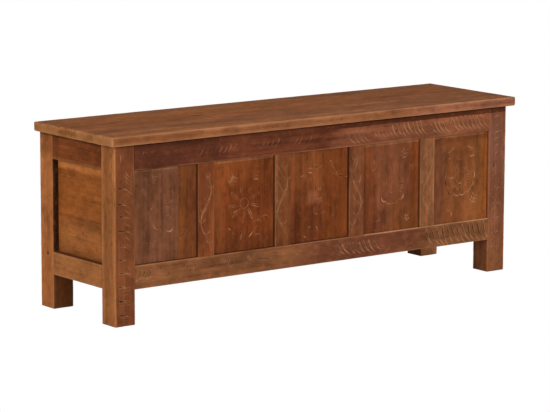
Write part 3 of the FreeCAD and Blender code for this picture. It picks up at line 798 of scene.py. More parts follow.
def new_piece(name, vertices, faces):
    """A new object in the scene, with these vertices and faces."""
    mesh = bpy.data.meshes.new(name)
    mesh.from_pydata(np.asarray(vertices).tolist(), [], faces)
    piece = bpy.data.objects.new(name, mesh)
    bpy.context.scene.collection.objects.link(piece)
    return piece


def run_tree(piece, tree, values):
    """Runs a tree on a piece, with inputs by the names that the tree gives them, and leaves a plain mesh."""
    modifier = piece.modifiers.new(tree.name, "NODES")
    modifier.node_group = tree
    for item in tree.interface.items_tree:
        if item.in_out == "INPUT" and item.name in values:
            modifier[item.identifier] = values[item.name]
    graph = bpy.context.evaluated_depsgraph_get()
    made = piece.evaluated_get(graph)
    mesh = bpy.data.meshes.new_from_object(made, preserve_all_data_layers=True, depsgraph=graph)
    piece.modifiers.remove(modifier)
    rough = piece.data
    piece.data = mesh
    bpy.data.meshes.remove(rough)
    mesh.name = piece.name


# The opening, the corner reach and the two vectors for faces that look down and up say where shade is
# painted.
def timber(
    node, block, finish, seed, low, high, radius, marks=EMPTY,
    opening=EVERYWHERE, corner=CORNER, grime_low=NO_SHADE, grime_high=NO_SHADE, rub=RUBBED,
):
    """A finished timber that stands for a CAD node, on the node's body."""
    piece = new_piece(node + "_timber", *block)
    face = min(vertex[1] for vertex in block[0])
    struck = marks.board(node + "_marks", face)
    run_tree(piece, timber_tree, {
        "Low": low, "High": high, "Edge Radius": radius, "Wear": WEAR, "Ripple": RIPPLE,
        "Seed": seed * SEED_STEP, "Marks": struck, "Tools": tools, "Face": face,
        "Cut": 1.0 if marks.rows else 0.0, "Opening Low": opening[0], "Opening High": opening[1],
        "Corner Reach": corner, "Rub": rub, "Grime Low": grime_low, "Grime High": grime_high,
        "Material": finish,
    })
    piece.data.set_sharp_from_angle(angle=SHARP_ANGLE)
    bpy.data.meshes.remove(struck.data)
    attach(piece, frame["nodes"][node]["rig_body"])
    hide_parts(node)
    print(piece.name, len(piece.data.polygons), "faces,", len(marks.rows), "marks")


print("edges sharper than", round(math.degrees(SHARP_ANGLE)), "degrees stay sharp")

# %% [markdown]
# ## Front legs
# The legs are square posts. Their outer faces are plain, and the front of each is struck all the way up:
# the left one with deep notches that trail off into long tails, and faint strokes beside them, the right
# one with short dashes and small arcs. Shade is painted just under the lid, deeper on the right half where
# the lid casts its shadow, and on the backs of the legs.

# %% Front legs
CARVE_STEP, PLAIN_STEP = 0.0009, 0.006
LEG_RADIUS, LID_CORNER = 0.0022, 0.0045
# How much painted shade darkens a face that looks into a recess or away from the light.
SHADED_SIDE = 0.8
SIDE_ORANGE = paint(164, 102, 56)
# A painted shadow of the lid's overhang, just under it on the right half of the front.
LID_SHADOW = ({"x": (0.02, FAR, 0.06), "z": (0.3665, FAR, 0.0012)}, paint(70, 33, 19), 0.85)
frame_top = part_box("front_top_rail")[1].z
# Painted shade on the frame within a few millimetres under the lid.
under_lid_shade = {"opening": ((-FAR, 0, -FAR), (FAR, 0, frame_top)), "corner": LID_CORNER}

# A ladder has its tool, x, lowest and highest z, spacing, length, turn, press and width.
left_leg = Marks(11)
left_leg.ladder("notch", -525, 24, 300, 29.5, 34, 108, 4.0, 3.0)
left_leg.ladder("gouge", -498, 272, 318, 9, 27, -16, 0.75, 1.4)
left_leg.ladder("dash", -503, 112, 250, 14.5, 22, 124, 0.5, 1.2)
left_leg.ladder("dash", -510, 12, 86, 9, 26, 98, 0.45, 1.2)
left_leg.strike("dash", -520, 352, 22, 4, 0.75, 1.3)
right_leg = Marks(12)
right_leg.ladder("dash", 508, 276, 360, 16, 17, 72, 0.7, 1.4)
right_leg.ladder("dash", 502, 62, 256, 16.5, 14, 50, 2.0, 1.4)
right_leg.ladder("arc", 514, 20, 210, 34, 14, -10, 0.7, 1.4)
right_leg.ladder("dash", 522, 160, 340, 56, 9, 2, 2.0, 1.4)

leg_looks = {
    "leg_front_left": (left_leg, stock(114, 64, 37), 3, 0.5, [
        ({"x": (-FAR, -0.532, 0.002)}, SIDE_ORANGE, 0.9),
    ]),
    "leg_front_right": (right_leg, stock(121, 73, 50), 4, 0.15, [
        ({"z": (0.24, 0.36, 0.03)}, paint(124, 80, 63), 0.6),
        ({"z": (-FAR, 0.07, 0.02)}, paint(140, 88, 50), 0.5),
        ({"x": (0.532, FAR, 0.002)}, SIDE_ORANGE, 0.9), LID_SHADOW,
    ]),
}
for node, (marks, tones, seed, worn, patches) in leg_looks.items():
    low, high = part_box(node)
    block = sawn_block(low, high, (CARVE_STEP, PLAIN_STEP, CARVE_STEP), LEG_RADIUS)
    finish = stained_wood(node, "z", tones, seed, patches, worn=worn)
    # The backs of the front legs get painted shade.
    timber(node, block, finish, seed, low, high, LEG_RADIUS, marks, grime_high=(0, SHADED_SIDE, 0), **under_lid_shade)

# %% [markdown]
# ## Front rails
# The top rail is dark and purplish on the left and paler on the right, as if two pieces of stock met in
# it. Groups of gouge cuts stand along both rails: pale ones that lean right on the left half of the top
# rail, and broad, dark ones that bend and lean left on both right halves. On the left half of the bottom
# rail only single worn cuts are left. A rail is a carving board whose ends stay square at the legs.

# %% Boards in the frame
RAIL_RADIUS = 0.0018


def between(node, first, second, axis):
    """A node's box, cut back along one axis to what shows between two neighbours."""
    low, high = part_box(node)
    low[axis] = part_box(first)[1][axis]
    high[axis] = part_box(second)[0][axis]
    return low, high


def flush(low, high, sides):
    """A rounding box that reaches far past the board at some sides, so those edges stay square."""
    low, high = low.copy(), high.copy()
    for side in sides.split():
        axis = "xyz".index(side[1])
        if side[0] == "-":
            low[axis] -= FAR
        else:
            high[axis] += FAR
    return low, high


def carved_timber(node, span, sides, grain, tones, seed, patches, marks, wood, radius=RAIL_RADIUS, **shape):
    """A timber from a carving board, with square edges at some sides."""
    block = carving_board(*span, CARVE_STEP, RAIL_RADIUS)
    finish = stained_wood(node, grain, tones, seed, patches, **wood)
    timber(node, block, finish, seed, *flush(*span, sides), radius, marks, **shape)


print("boards are rounded by", RAIL_RADIUS / MM, "mm")

# %% Marks of the rails
def gouge_rows(marks, rows, mirror=False):
    """Rows of gouge cuts: first and last x, spacing, z, length, turn, press and width of each."""
    for row in rows:
        marks.row("gouge", *row, mirror)


top_rail = Marks(21)
gouge_rows(top_rail, (
    (-478, -452, 12, 356, 14, 8, 0.5, 1.4), (-330, -232, 12, 347, 26, 14, 0.44, 2.6),
    (-172, -130, 13, 349, 24, 14, 0.44, 2.6), (-84, -14, 13, 349, 26, 12, 0.46, 2.4),
), mirror=True)
top_rail.strike("gouge", -117, 351, 20, 6, 0.8, 2.8, mirror=True)
gouge_rows(top_rail, (
    (84, 126, 14, 344, 31, -14, 1.7, 2.5), (158, 206, 11, 343, 24, -18, 0.75, 1.5),
    (210, 296, 11.5, 349, 33, -8, 1.8, 2.4), (322, 362, 12, 345, 32, -14, 1.9, 2.5),
    (384, 476, 12.5, 349, 34, -8, 1.8, 2.5),
))
bottom_rail = Marks(22)
CUT_PRESS, CUT_WIDE = 2.6, 1.9
worn_cuts = (
    (-476, 102, 24, 8), (-466, 104, 20, 14), (-450, 102, 22, 10), (-421, 112, 10, 24), (-403, 97, 18, 32),
    (-361, 110, 10, 6), (-333, 107, 13, 10), (-246, 109, 17, -24), (-237, 101, 15, 16),
    (-202, 103, 24, -14), (-186, 110, 15, 12),
)
for cut in worn_cuts:
    bottom_rail.strike("gouge", *cut, CUT_PRESS, CUT_WIDE, mirror=True)
long_cuts = (
    (-308, 113, 20, 94, 2.4, 1.1), (-152, 104, 46, 94, 2.4, 1.1),
    (-98, 108, 18, 96, 0.7, 1.2), (-62, 103, 14, 112, 0.7, 1.4),
)
for cut in long_cuts:
    bottom_rail.strike("dash", *cut)
gouge_rows(bottom_rail, ((60, 172, 14.5, 97, 30, -14, 1.8, 2.6), (314, 480, 15, 98, 42, -2, 2.3, 3.3)))
print(len(top_rail.rows), "marks on the top rail,", len(bottom_rail.rows), "on the bottom rail")

# %% Front rails
RAIL_SEED, RAIL_WORN, RAIL_RUB = 31, 0.65, 0.2
rail_looks = {
    # The underside of the top rail gets painted shade.
    "front_top_rail": (top_rail, stock(110, 59, 38), {"grime_low": (0, 0, SHADED_SIDE)}, [
        ({"x": (-FAR, -0.24, 0.05)}, paint(88, 46, 31), 0.7),
        ({"x": (-0.47, -0.33, 0.03)}, paint(78, 43, 30), 0.5),
        ({"x": (0.05, FAR, 0.05)}, paint(146, 87, 59), 0.85),
        ({"x": (0.33, FAR, 0.04)}, paint(156, 95, 64), 0.6), LID_SHADOW,
    ]),
    "front_bottom_rail": (bottom_rail, stock(131, 82, 51), {}, [
        ({"x": (-0.02, 0.29, 0.05)}, paint(104, 56, 40), 0.8),
        # A painted highlight on the upper edge of the bottom rail, under the two right-hand panels.
        ({"x": (0.125, FAR, 0.0006), "z": (0.1234, FAR, 0.0006)}, paint(204, 150, 112), 0.85),
    ]),
}
for seed, (node, (marks, tones, grime, patches)) in enumerate(rail_looks.items(), start=RAIL_SEED):
    span = between(node, "leg_front_left", "leg_front_right", 0)
    carved_timber(
        node, span, "-x +x +y", "x", tones, seed, patches, marks, {"worn": RAIL_WORN}, rub=RAIL_RUB,
        **grime, **under_lid_shade
    )

# %% [markdown]
# ## Muntins
# Four upright muntins part the panels. A double stem winds up each one, with small leaves to both sides.
# The stem is one long tool mark. It is mirrored on the third muntin, and three of them have a few strokes
# more beside it, so that no two are alike.

# %% Muntins
STEM_SHARE, STEM_WIDE = 0.9, 0.9
STEM_SEED, MUNTIN_SEED, MUNTIN_WORN = 40, 50, 0.5
# Painted shade on the sides of the muntins, in the recesses beside the panels.
MUNTIN_SHADED_SIDES = (0.7, 0, 0)
muntin_looks = (
    (stock(116, 62, 34), 0.8, []),
    (stock(120, 68, 38), 0.7, [
        ({"x": (-FAR, -0.1152, 0.0008), "z": (0.18, FAR, 0.01)}, paint(160, 106, 66), 0.6),
    ]),
    (stock(122, 70, 43), 0.8, []),
    (stock(142, 90, 57), 0.7, [
        ({"x": (0.3192, FAR, 0.0008), "z": (0.18, FAR, 0.01)}, paint(170, 116, 76), 0.5),
    ]),
)
stem_strokes = {
    2: [(-101, 278, 58, 149, 2.4, 0.9), (-104, 252, 44, 146, 2.2, 0.9)],
    3: [(100, 284, 36, 24, 0.8, 1.2), (111, 251, 24, 20, 0.8, 1.4), (96, 210, 30, 150, 0.8, 1.2)],
    4: [(299, 288, 20, 28, 0.7, 1.3), (305, 277, 16, 34, 0.7, 1.3)],
}
for number, (tones, press, patches) in enumerate(muntin_looks, start=1):
    node = f"front_muntin_{number}"
    low, high = between(node, "front_bottom_rail", "front_top_rail", 2)
    centre, height = (low + high) / 2 / MM, (high.z - low.z) / MM
    stem = Marks(STEM_SEED + number)
    stem.strike("stem", centre.x, centre.z, STEM_SHARE * height, 0, press, STEM_WIDE, mirror=number == 3)
    for stroke in stem_strokes.get(number, ()):
        stem.strike("dash", *stroke)
    carved_timber(
        node, (low, high), "-z +z +y", "z", tones, MUNTIN_SEED + number, patches, stem,
        {"worn": MUNTIN_WORN}, grime_low=MUNTIN_SHADED_SIDES, grime_high=MUNTIN_SHADED_SIDES
    )

# %% [markdown]
# ## Front panels
# Each panel sits in grooves of the frame, so its edges run in behind it. In the middle is a flower: petals,
# blades or dashes round a small ring. Wear has left little of the scalloped ring outside it, and small
# strokes, such as sprigs, dashes and arcs, fill the corners. Panels 1 and 3 are two boards with a joint, and
# the carving goes across it, so both boards get the same marks and each keeps its share.

# %% Flowers and strokes
# A flower has its place, the radius of its ring, its petals (tool, count, length, press), what is clear of
# the scalloped ring (first and last angle, press), and how much of its carving is rubbed away.
flowers = {
    1: (-408, 231, 10, ("petal", 12, 20, 0.36), (140, 222, 0.6), 0.7),
    2: (-206, 228, 11, ("blade", 9, 28, 0.54), None, 0.35),
    3: (-4, 228, 11, ("dash", 16, 18, 0.4), (150, 200, 0.5), 0.5),
    4: (201, 229, 18, ("petal", 12, 16, 0.34), (118, 240, 0.65), 0.6),
    5: (398, 228, 13, ("petal", 12, 18, 0.45), (82, 208, 0.7), 0.35),
}
# Each kind of small stroke has its press and its width, and each stroke its x, z, length and turn.
PALE, FAINT, DARK, THIN = (0.7, 1.5), (0.5, 1.2), (4.0, 1.4), (4.0, 0.9)
panel_strokes = {
    1: {
        ("dash", PALE): [(-446, 240, 7, 40), (-397, 216, 9, 10)],
        ("sprig", FAINT): [(-446, 288, 26, 18), (-446, 152, 26, 10)],
        ("dash", THIN): [(-364, 178, 26, 45)],
    },
    2: {
        ("dash", PALE): [
            (-241, 280, 18, 40), (-235, 287, 10, 95), (-245, 176, 12, 125), (-226, 214, 24, 70),
            (-188, 160, 20, 38),
        ],
        ("arc", PALE): [(-174, 274, 14, 10)],
        ("sprig", FAINT): [(-248, 266, 34, 35)],
        ("dash", FAINT): [
            (-234, 166, 14, 112), (-177, 172, 16, 52), (-170, 304, 12, 95), (-169, 294, 12, 95),
            (-173, 284, 12, 95), (-172, 158, 16, 96),
        ],
        ("arc", FAINT): [(-170, 182, 24, 10), (-150, 190, 26, 4)],
        ("notch", DARK): [(-214, 166, 16, 190)],
    },
    3: {
        ("arc", PALE): [(-50, 268, 14, -20), (-29, 284, 12, 0)],
        ("dash", PALE): [(-28, 277, 12, 90), (-2, 211, 10, 75), (-30, 158, 9, 60), (74, 137, 10, 80)],
        ("dash", FAINT): [(-18, 196, 9, 20), (36, 270, 16, 120)],
        ("petal", FAINT): [(20, 285, 18, 40), (32, 190, 16, 160)],
        ("arc", DARK): [(-8, 292, 22, 190)],
        ("notch", DARK): [(-14, 158, 12, 150), (-46, 138, 12, 120)],
        ("dash", THIN): [(35, 284, 34, 150), (60, 262, 30, 100)],
    },
    4: {
        ("dash", PALE): [(150, 268, 15, 62), (160, 152, 19, 75)],
        ("sprig", FAINT): [(228, 282, 30, 20)],
        ("arc", FAINT): [(250, 268, 18, 160), (169, 285, 15, 0), (234, 273, 18, 12)],
        ("notch", DARK): [(226, 287, 12, 100), (147, 288, 12, 170)],
    },
    5: {
        ("dash", PALE): [
            (371, 290, 26, 56), (428, 293, 24, 114), (367, 272, 15, 88), (434, 273, 18, 82),
            (372, 228, 26, 92), (398, 213, 14, 88), (366, 153, 12, 80), (374, 145, 10, 10),
        ],
        ("sprig", PALE): [(431, 160, 32, 24)],
        ("dash", FAINT): [
            (353, 276, 24, 49), (390, 292, 22, 125), (408, 292, 22, 57), (449, 276, 24, 133),
            (360, 158, 8, 60), (397, 268, 22, 97),
        ],
        ("arc", FAINT): [(440, 266, 30, 70)],
        ("notch", DARK): [(424, 284, 12, 70), (436, 285, 12, 120)],
        ("arc", DARK): [(357, 242, 20, -80), (362, 216, 20, -100), (370, 196, 20, -125)],
        ("dash", DARK): [(418, 236, 10, 10)],
    },
}
print(sum(len(marks) for bay in panel_strokes.values() for marks in bay.values()), "small strokes")

# %% Marks of the panels
# The places above are those on the front of the frame. The panels lie deeper, so their marks slide along.
PANEL_SLIDE = 5.6
PETAL_GAP, FLOWER_WIDE = 3, 1.3
SCALLOPS = {"radius": 37, "count": 14, "size": 16.6, "wide": 1.8}
SMALL_FLOWERS = {4: ("petal", 249, 151, 2, 5, 7, 0.7)}
FLOWER_SEED = 60


def panel_marks(bay):
    """The marks of one panel: a flower, what is left of its scalloped ring, and small marks round it."""
    x, z, ring, (petal, count, size, press), scallops, _ = flowers[bay]
    x += PANEL_SLIDE
    marks = Marks(FLOWER_SEED + bay)
    marks.strike("ring", x, z, ring, 0, press, FLOWER_WIDE)
    marks.round(petal, x, z, ring + PETAL_GAP, count, size, press, FLOWER_WIDE)
    if scallops:
        first, last, strong = scallops
        marks.round("scallop", x, z, press=strong, clear=(first, last), **SCALLOPS)
    for (tool, look), strokes in panel_strokes[bay].items():
        for across, rise, length, turn in strokes:
            marks.strike(tool, across + PANEL_SLIDE, rise, length, turn, *look)
    if bay in SMALL_FLOWERS:
        marks.round(*SMALL_FLOWERS[bay])
    return marks


print([len(panel_marks(bay).rows) for bay in flowers], "marks on the panels")

# %% Stock of the panels
STRIPE, STRIPE_LIGHT = paint(128, 64, 28), paint(150, 82, 34)
# A painted highlight along the top edge of a panel, just under the top rail.
TOP_HIGHLIGHT = ({"z": (0.3195, FAR, 0.0012)}, paint(160, 106, 72), 0.55)
# A panel has its neighbours on the left and right, its bay, its stock and its patches.
panels = {
    "front_panel_1_left": ("leg_front_left", None, 1, stock(116, 71, 48), [
        ({"x": (-FAR, -0.462, 0.003)}, paint(134, 84, 54), 0.6), TOP_HIGHLIGHT,
    ]),
    "front_panel_1_right": (None, "front_muntin_1", 1, stock(110, 60, 32), [
        ({"x": (-FAR, -0.354, 0.006)}, paint(140, 80, 38), 0.55),
    ]),
    "front_panel_2": ("front_muntin_1", "front_muntin_2", 2, stock(114, 57, 27), [
        ({"x": (-FAR, -0.159, 0.012), "z": (0.275, FAR, 0.012)}, paint(136, 73, 35), 0.6),
        ({"x": (-FAR, -0.254, 0.006), "z": (-FAR, 0.275, 0.012)}, paint(118, 66, 34), 0.6),
        ({"z": (-FAR, 0.165, 0.012)}, paint(98, 52, 28), 0.5), TOP_HIGHLIGHT,
    ]),
    "front_panel_3_left": ("front_muntin_2", None, 3, stock(114, 60, 32), [
        ({"z": (0.255, FAR, 0.014)}, paint(132, 74, 38), 0.6),
        ({"z": (-FAR, 0.215, 0.014)}, paint(98, 48, 26), 0.5),
        ({"x": (-0.03, 0.002, 0.01), "z": (0.206, 0.238, 0.01)}, paint(158, 96, 66), 0.5),
    ]),
    "front_panel_3_right": (None, "front_muntin_3", 3, stock(116, 60, 28), []),
    "front_panel_4": ("front_muntin_3", "front_muntin_4", 4, stock(120, 68, 43), [
        ({"x": (-FAR, 0.154, 0.006)}, STRIPE, 0.6), ({"x": (0.255, FAR, 0.006)}, STRIPE, 0.8),
        ({"x": (-FAR, 0.166, 0.01), "z": (-FAR, 0.24, 0.01)}, paint(102, 54, 31), 0.5),
        ({"x": (0.196, FAR, 0.014), "z": (-FAR, 0.19, 0.014)}, paint(134, 76, 36), 0.6), TOP_HIGHLIGHT,
    ]),
    "front_panel_5": ("front_muntin_4", "leg_front_right", 5, stock(126, 72, 40), [
        ({"x": (-FAR, 0.358, 0.008)}, paint(112, 66, 47), 0.6),
        ({"x": (0.436, 0.476, 0.01)}, paint(142, 86, 42), 0.5),
        ({"x": (0.47, FAR, 0.003)}, STRIPE_LIGHT, 0.85),
        # A painted shadow of the top rail over the top of this panel.
        ({"z": (0.308, FAR, 0.006)}, paint(96, 47, 24), 0.5), TOP_HIGHLIGHT,
    ]),
}
print(len(panels), "boards in", len(flowers), "panels")

# %% Front panels
JOINT_RADIUS, PANEL_CORNER = 0.0014, 0.002
PANEL_SEED = 70
# Painted shade lines the right edge and the bottom of each panel where it meets the frame, except the bottom
# of these bays.
UNSHADED_LEDGES = (4, 5)
# The joints between a panel's boards are edged with the dark colour.
panel_wood = {"worn": 1.0, "edge": GRIME_AND_SHADE, "pale_cut": 0.9}
panel_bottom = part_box("front_bottom_rail")[1].z
for seed, (node, (first, second, bay, tones, patches)) in enumerate(panels.items(), start=PANEL_SEED):
    sides = "-y +y -z +z" + (" -x" if first else "") + (" +x" if second else "")
    opening_low = (-FAR, 0, -FAR if bay in UNSHADED_LEDGES else panel_bottom)
    opening_high = (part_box(second)[0].x if second else FAR, 0, FAR)
    carved_timber(
        node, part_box(node), sides, "z", tones, seed, patches, panel_marks(bay), panel_wood, JOINT_RADIUS,
        opening=(opening_low, opening_high), corner=PANEL_CORNER, rub=flowers[bay][-1]
    )

# %% [markdown]
# ## Ends and back
# The ends have no carving: two rails and one wide panel, stained more orange and set so deep in its frame
# that the sides of the recess are in shade, which is painted dark. The back is plainer still. These timbers
# come from even blocks with a coarse grid, which is enough for their worn edges. Where a hinge leaf is let
# in, the grid has lines at the edges of its seat, and the vertices between them are sunk.

# %% Plain timbers
HINGES = ("left", "right")
LEAF_THICKNESS, SEAT_GAP, SEAT_WALL = 0.002, 0.0003, 0.0001
MOST_STEPS = 160


def seated_block(low, high, steps, radius, face, depth):
    """An even block with the hinge seats sunk into its flat side at a height."""
    along, across, seats = [], [], []
    for hand in HINGES:
        leaf_low, leaf_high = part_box(f"hinge_{hand}_frame_leaf")
        first, last, front = leaf_low.x - SEAT_GAP, leaf_high.x + SEAT_GAP, leaf_low.y - SEAT_GAP
        along += [first, first + SEAT_WALL, last - SEAT_WALL, last]
        across += [front, front + SEAT_WALL]
        seats.append((first, last, front))
    vertices, faces = sawn_block(low, high, steps, radius, (along, across, ()))
    for first, last, front in seats:
        inside = (vertices[:, 0] > first) & (vertices[:, 0] < last) & (vertices[:, 1] > front)
        vertices[inside & (abs(vertices[:, 2] - face) < NO_LENGTH), 2] += depth
    return vertices, faces


def plain_timber(
    node, grain, tones, seed, sides, span=None, radius=RAIL_RADIUS, seats=False, knots=(), patches=(), **shape
):
    """A timber without carving, from an even block."""
    low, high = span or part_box(node)
    steps = [max(PLAIN_STEP, (high[axis] - low[axis]) / MOST_STEPS) for axis in range(3)]
    if seats:
        block = seated_block(low, high, steps, radius, high.z, -LEAF_THICKNESS)
    else:
        block = sawn_block(low, high, steps, radius)
    finish = stained_wood(node, grain, tones, seed, patches, knots=knots)
    timber(node, block, finish, seed, *flush(low, high, sides), radius, **shape)


print("plain timbers have a grid of", PLAIN_STEP / MM, "mm")

# %% Ends
seeds = itertools.count(100)
LOOSE = "-x +x -y +y -z +z"
SOFT = 0.001
# A painted shadow of the lid on the tops of the back legs.
END_LID_SHADOW = ({"z": (0.335, FAR, 0.012)}, paint(116, 64, 30), 0.6)
# Painted shade on the back legs' front faces inside the deep recess of the end panels.
RECESS_SHADE = {"y": (-FAR, 0.0975, 0.0005), "z": (0.126, 0.323, 0.0015)}
# The top end rail gets painted shade on its underside, the bottom one on its top face.
end_rails = {
    "top": (stock(118, 62, 29), {"grime_low": (0, 0, SHADED_SIDE), "patches": [
        ({"y": (0.072, FAR, 0.006)}, paint(88, 44, 19), 0.6),
        ({"y": (-FAR, -0.066, 0.006)}, paint(92, 46, 20), 0.6),
    ]}),
    "bottom": (stock(154, 97, 54), {"grime_high": (0, 0, SHADED_SIDE)}),
}
end_panel_tones = stock(140, 79, 35)
end_panel_patches = [
    ({"z": (-FAR, 0.2, 0.02)}, paint(148, 92, 50), 0.6),
    # A painted highlight along the top of the end panel, under its top rail.
    ({"z": (0.309, FAR, 0.006)}, paint(204, 126, 68), 0.6),
]
# A back leg has its stock, the painted shade of its sides, its knots and the range of its inner face.
back_legs = {
    "left": (stock(158, 95, 51), (0, 0.65, 0), [((-0.535, 0.118, 0.119), 0.006, 0.006)], (-FAR, -0.52, SOFT)),
    # The right leg's stock is made pale as painted light, for the light that reaches its front under the
    # chest.
    "right": (stock(200, 136, 88), (SHADED_SIDE, 0, 0), [], (0.52, FAR, SOFT)),
}
for hand, (leg_tones, leg_shade, knots, inner) in back_legs.items():
    for level, (tones, look) in end_rails.items():
        node = f"{hand}_{level}_rail"
        span = between(node, f"leg_front_{hand}", f"leg_back_{hand}", 1)
        plain_timber(node, "y", tones, next(seeds), "-y +y", span, **look, **under_lid_shade)
    plain_timber(f"{hand}_panel", "y", end_panel_tones, next(seeds), LOOSE, patches=end_panel_patches)
    leg_patches = [END_LID_SHADOW, ({"x": inner, **RECESS_SHADE}, GRIME_AND_SHADE, 0.9)]
    plain_timber(
        f"leg_back_{hand}", "z", leg_tones, next(seeds), "", None, LEG_RADIUS, knots=knots,
        patches=leg_patches, grime_low=leg_shade, **under_lid_shade
    )

# %% Back
back_tones = stock(116, 68, 42)
for level in ("top", "bottom"):
    node = f"back_{level}_rail"
    span = between(node, "leg_back_left", "leg_back_right", 0)
    plain_timber(node, "x", back_tones, next(seeds), "-x +x", span, seats=level == "top")
for number in (1, 2):
    node = f"back_muntin_{number}"
    span = between(node, "back_bottom_rail", "back_top_rail", 2)
    plain_timber(node, "z", back_tones, next(seeds), "-z +z", span)
for number in (1, 2, 3):
    plain_timber(f"back_panel_{number}", "z", back_tones, next(seeds), LOOSE)

# %% [markdown]
# ## Lid
# Four planks are glued edge to edge. Only the outer edges of the lid are rounded, so all planks share one
# rounding box, the lid's. Each plank has its own stock, and their ends show paler end grain. The front edge
# is darker on the left than on the right, where its upper corner has a pale pink painted highlight.

# %% Lid
LID_RADIUS, LID_STEPS = 0.0032, (PLAIN_STEP, 0.005, 0.004)
LID_SEED, LID_WORN, LID_ENDS, LID_SHINE = 120, 0.9, 0.7, 0.003
LID_KNOTS = {3: [((-0.216, 0.017, 0.400), 0.022, 0.008)]}
lid_tones = (stock(129, 78, 44), stock(128, 75, 40), stock(127, 73, 35), stock(127, 76, 41))
planks = {f"lid_plank_{number}": (number, tones) for number, tones in enumerate(lid_tones, start=1)}
lid_boxes = [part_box(node) for node in planks]
lid_low = Vector([min(low[axis] for low, high in lid_boxes) for axis in range(3)])
lid_high = Vector([max(high[axis] for low, high in lid_boxes) for axis in range(3)])
front_edge = (-FAR, lid_low.y + 0.001, 0.0008)
front_corner = {"y": (-FAR, lid_low.y + 0.003, 0.001), "z": (0.3975, FAR, 0.001)}
lid_patches = [
    ({"x": (-0.3, FAR, 0.08), "y": front_edge}, paint(156, 98, 66), 0.6),
    ({"x": (0.25, FAR, 0.08), "y": front_edge}, paint(160, 100, 80), 0.6),
    ({"x": (-FAR, -0.32, 0.08), "y": front_edge}, paint(116, 68, 42), 0.7),
    # A painted pale pink highlight on the upper front corner of the lid, on its right half.
    ({"x": (0.1, FAR, 0.06), **front_corner}, paint(192, 130, 102), 0.6),
]
for node, (number, tones) in planks.items():
    low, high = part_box(node)
    if number == len(planks):
        block = seated_block(low, high, LID_STEPS, LID_RADIUS, low.z, LEAF_THICKNESS)
    else:
        block = sawn_block(low, high, LID_STEPS, LID_RADIUS)
    finish = stained_wood(
        node, "x", tones, LID_SEED + number, lid_patches, worn=LID_WORN, knots=LID_KNOTS.get(number, ()),
        ends=LID_ENDS, shine=LID_SHINE
    )
    timber(node, block, finish, LID_SEED + number, lid_low, lid_high, LID_RADIUS)

# %% [markdown]
# ## Inside
# The floor boards, their cleats and the battens under the lid are hidden when the chest is shut. Their
# CAD solids are right as they are, so they only get a finish: plain wood without stain.

# %% Inside
RAW, RAW_SEED = stock(176, 130, 90), 140
# The grain by the first words of a name: the first that fits counts.
inside_grain = {
    "floor_board": "x", "floor_cleat_front": "x", "floor_cleat_back": "x", "floor_cleat": "y",
    "lid_batten": "y",
}


def dress(node, finish):
    """Gives a CAD solid its finish."""
    materials = frame["nodes"][node].data.materials
    materials.clear()
    materials.append(finish)
    print(node, "wears", finish.name)


for number, node in enumerate(sorted(frame["nodes"])):
    found = [grain for start, grain in inside_grain.items() if node.startswith(start)]
    if found:
        dress(node, stained_wood(node, found[0], RAW, RAW_SEED + number))

# %% [markdown]
# ## Hinges
# Two steel butt hinges sit in seats in the back rail and the lid. Their leaves, knuckles and pins are
# CAD solids, and get a zinc-plated finish: grey metal, a little cloudy, with fine drawing lines.

# %% Hinges
DRAWN = (60.0, 1600.0, 1600.0)


def plated_steel(name, bright, dull, rough):
    """Grey plated metal that is cloudy in places."""
    finish, wire = new_finish(name)
    place = wire.add("ShaderNodeTexCoord", {}, {}, "Object")
    cloud = wire.noise(place, 90.0, 3.0)
    lines = wire.noise(wire.vector("MULTIPLY", place, DRAWN), 1.0, 2.0)
    colour = wire.mix(dull, bright, (cloud * 0.7 + lines * 0.3).ramp(0.35, 0.65))
    bump = wire.add("ShaderNodeBump", {}, {"Strength": 0.1, "Distance": 0.0002, "Height": lines})
    gloss = rough + (0.5 - cloud) * 0.25
    wire.fill(finish.node_tree.nodes["Principled BSDF"], {
        "Base Color": colour, "Roughness": gloss, "Normal": bump, "Metallic": 1.0,
    })
    return finish


hinge_steel = plated_steel("hinge_steel", paint(176, 172, 164), paint(128, 122, 114), 0.36)
for node in frame["nodes"]:
    if node.startswith("hinge_") and not node.endswith("_screws"):
        dress(node, hinge_steel)

# %% [markdown]
# ## Screws
# Countersunk screws hold the hinges, the battens and the cleats. They repeat, so one screw with a cross
# recess is turned on a small lathe of our own, and a tree puts a copy at each place, pointing the right
# way. The places are those of the CAD screws: each separate solid of a group gives one point.

# %% One screw
SCREW_SIDES = 24
TINY = 1e-9


def cross_radius(angle, arm, half):
    """How far a cross with arms of one length and half width reaches at an angle."""
    along, across = abs(math.cos(angle)) + TINY, abs(math.sin(angle)) + TINY
    return max(min(arm / along, half / across), min(half / along, arm / across))


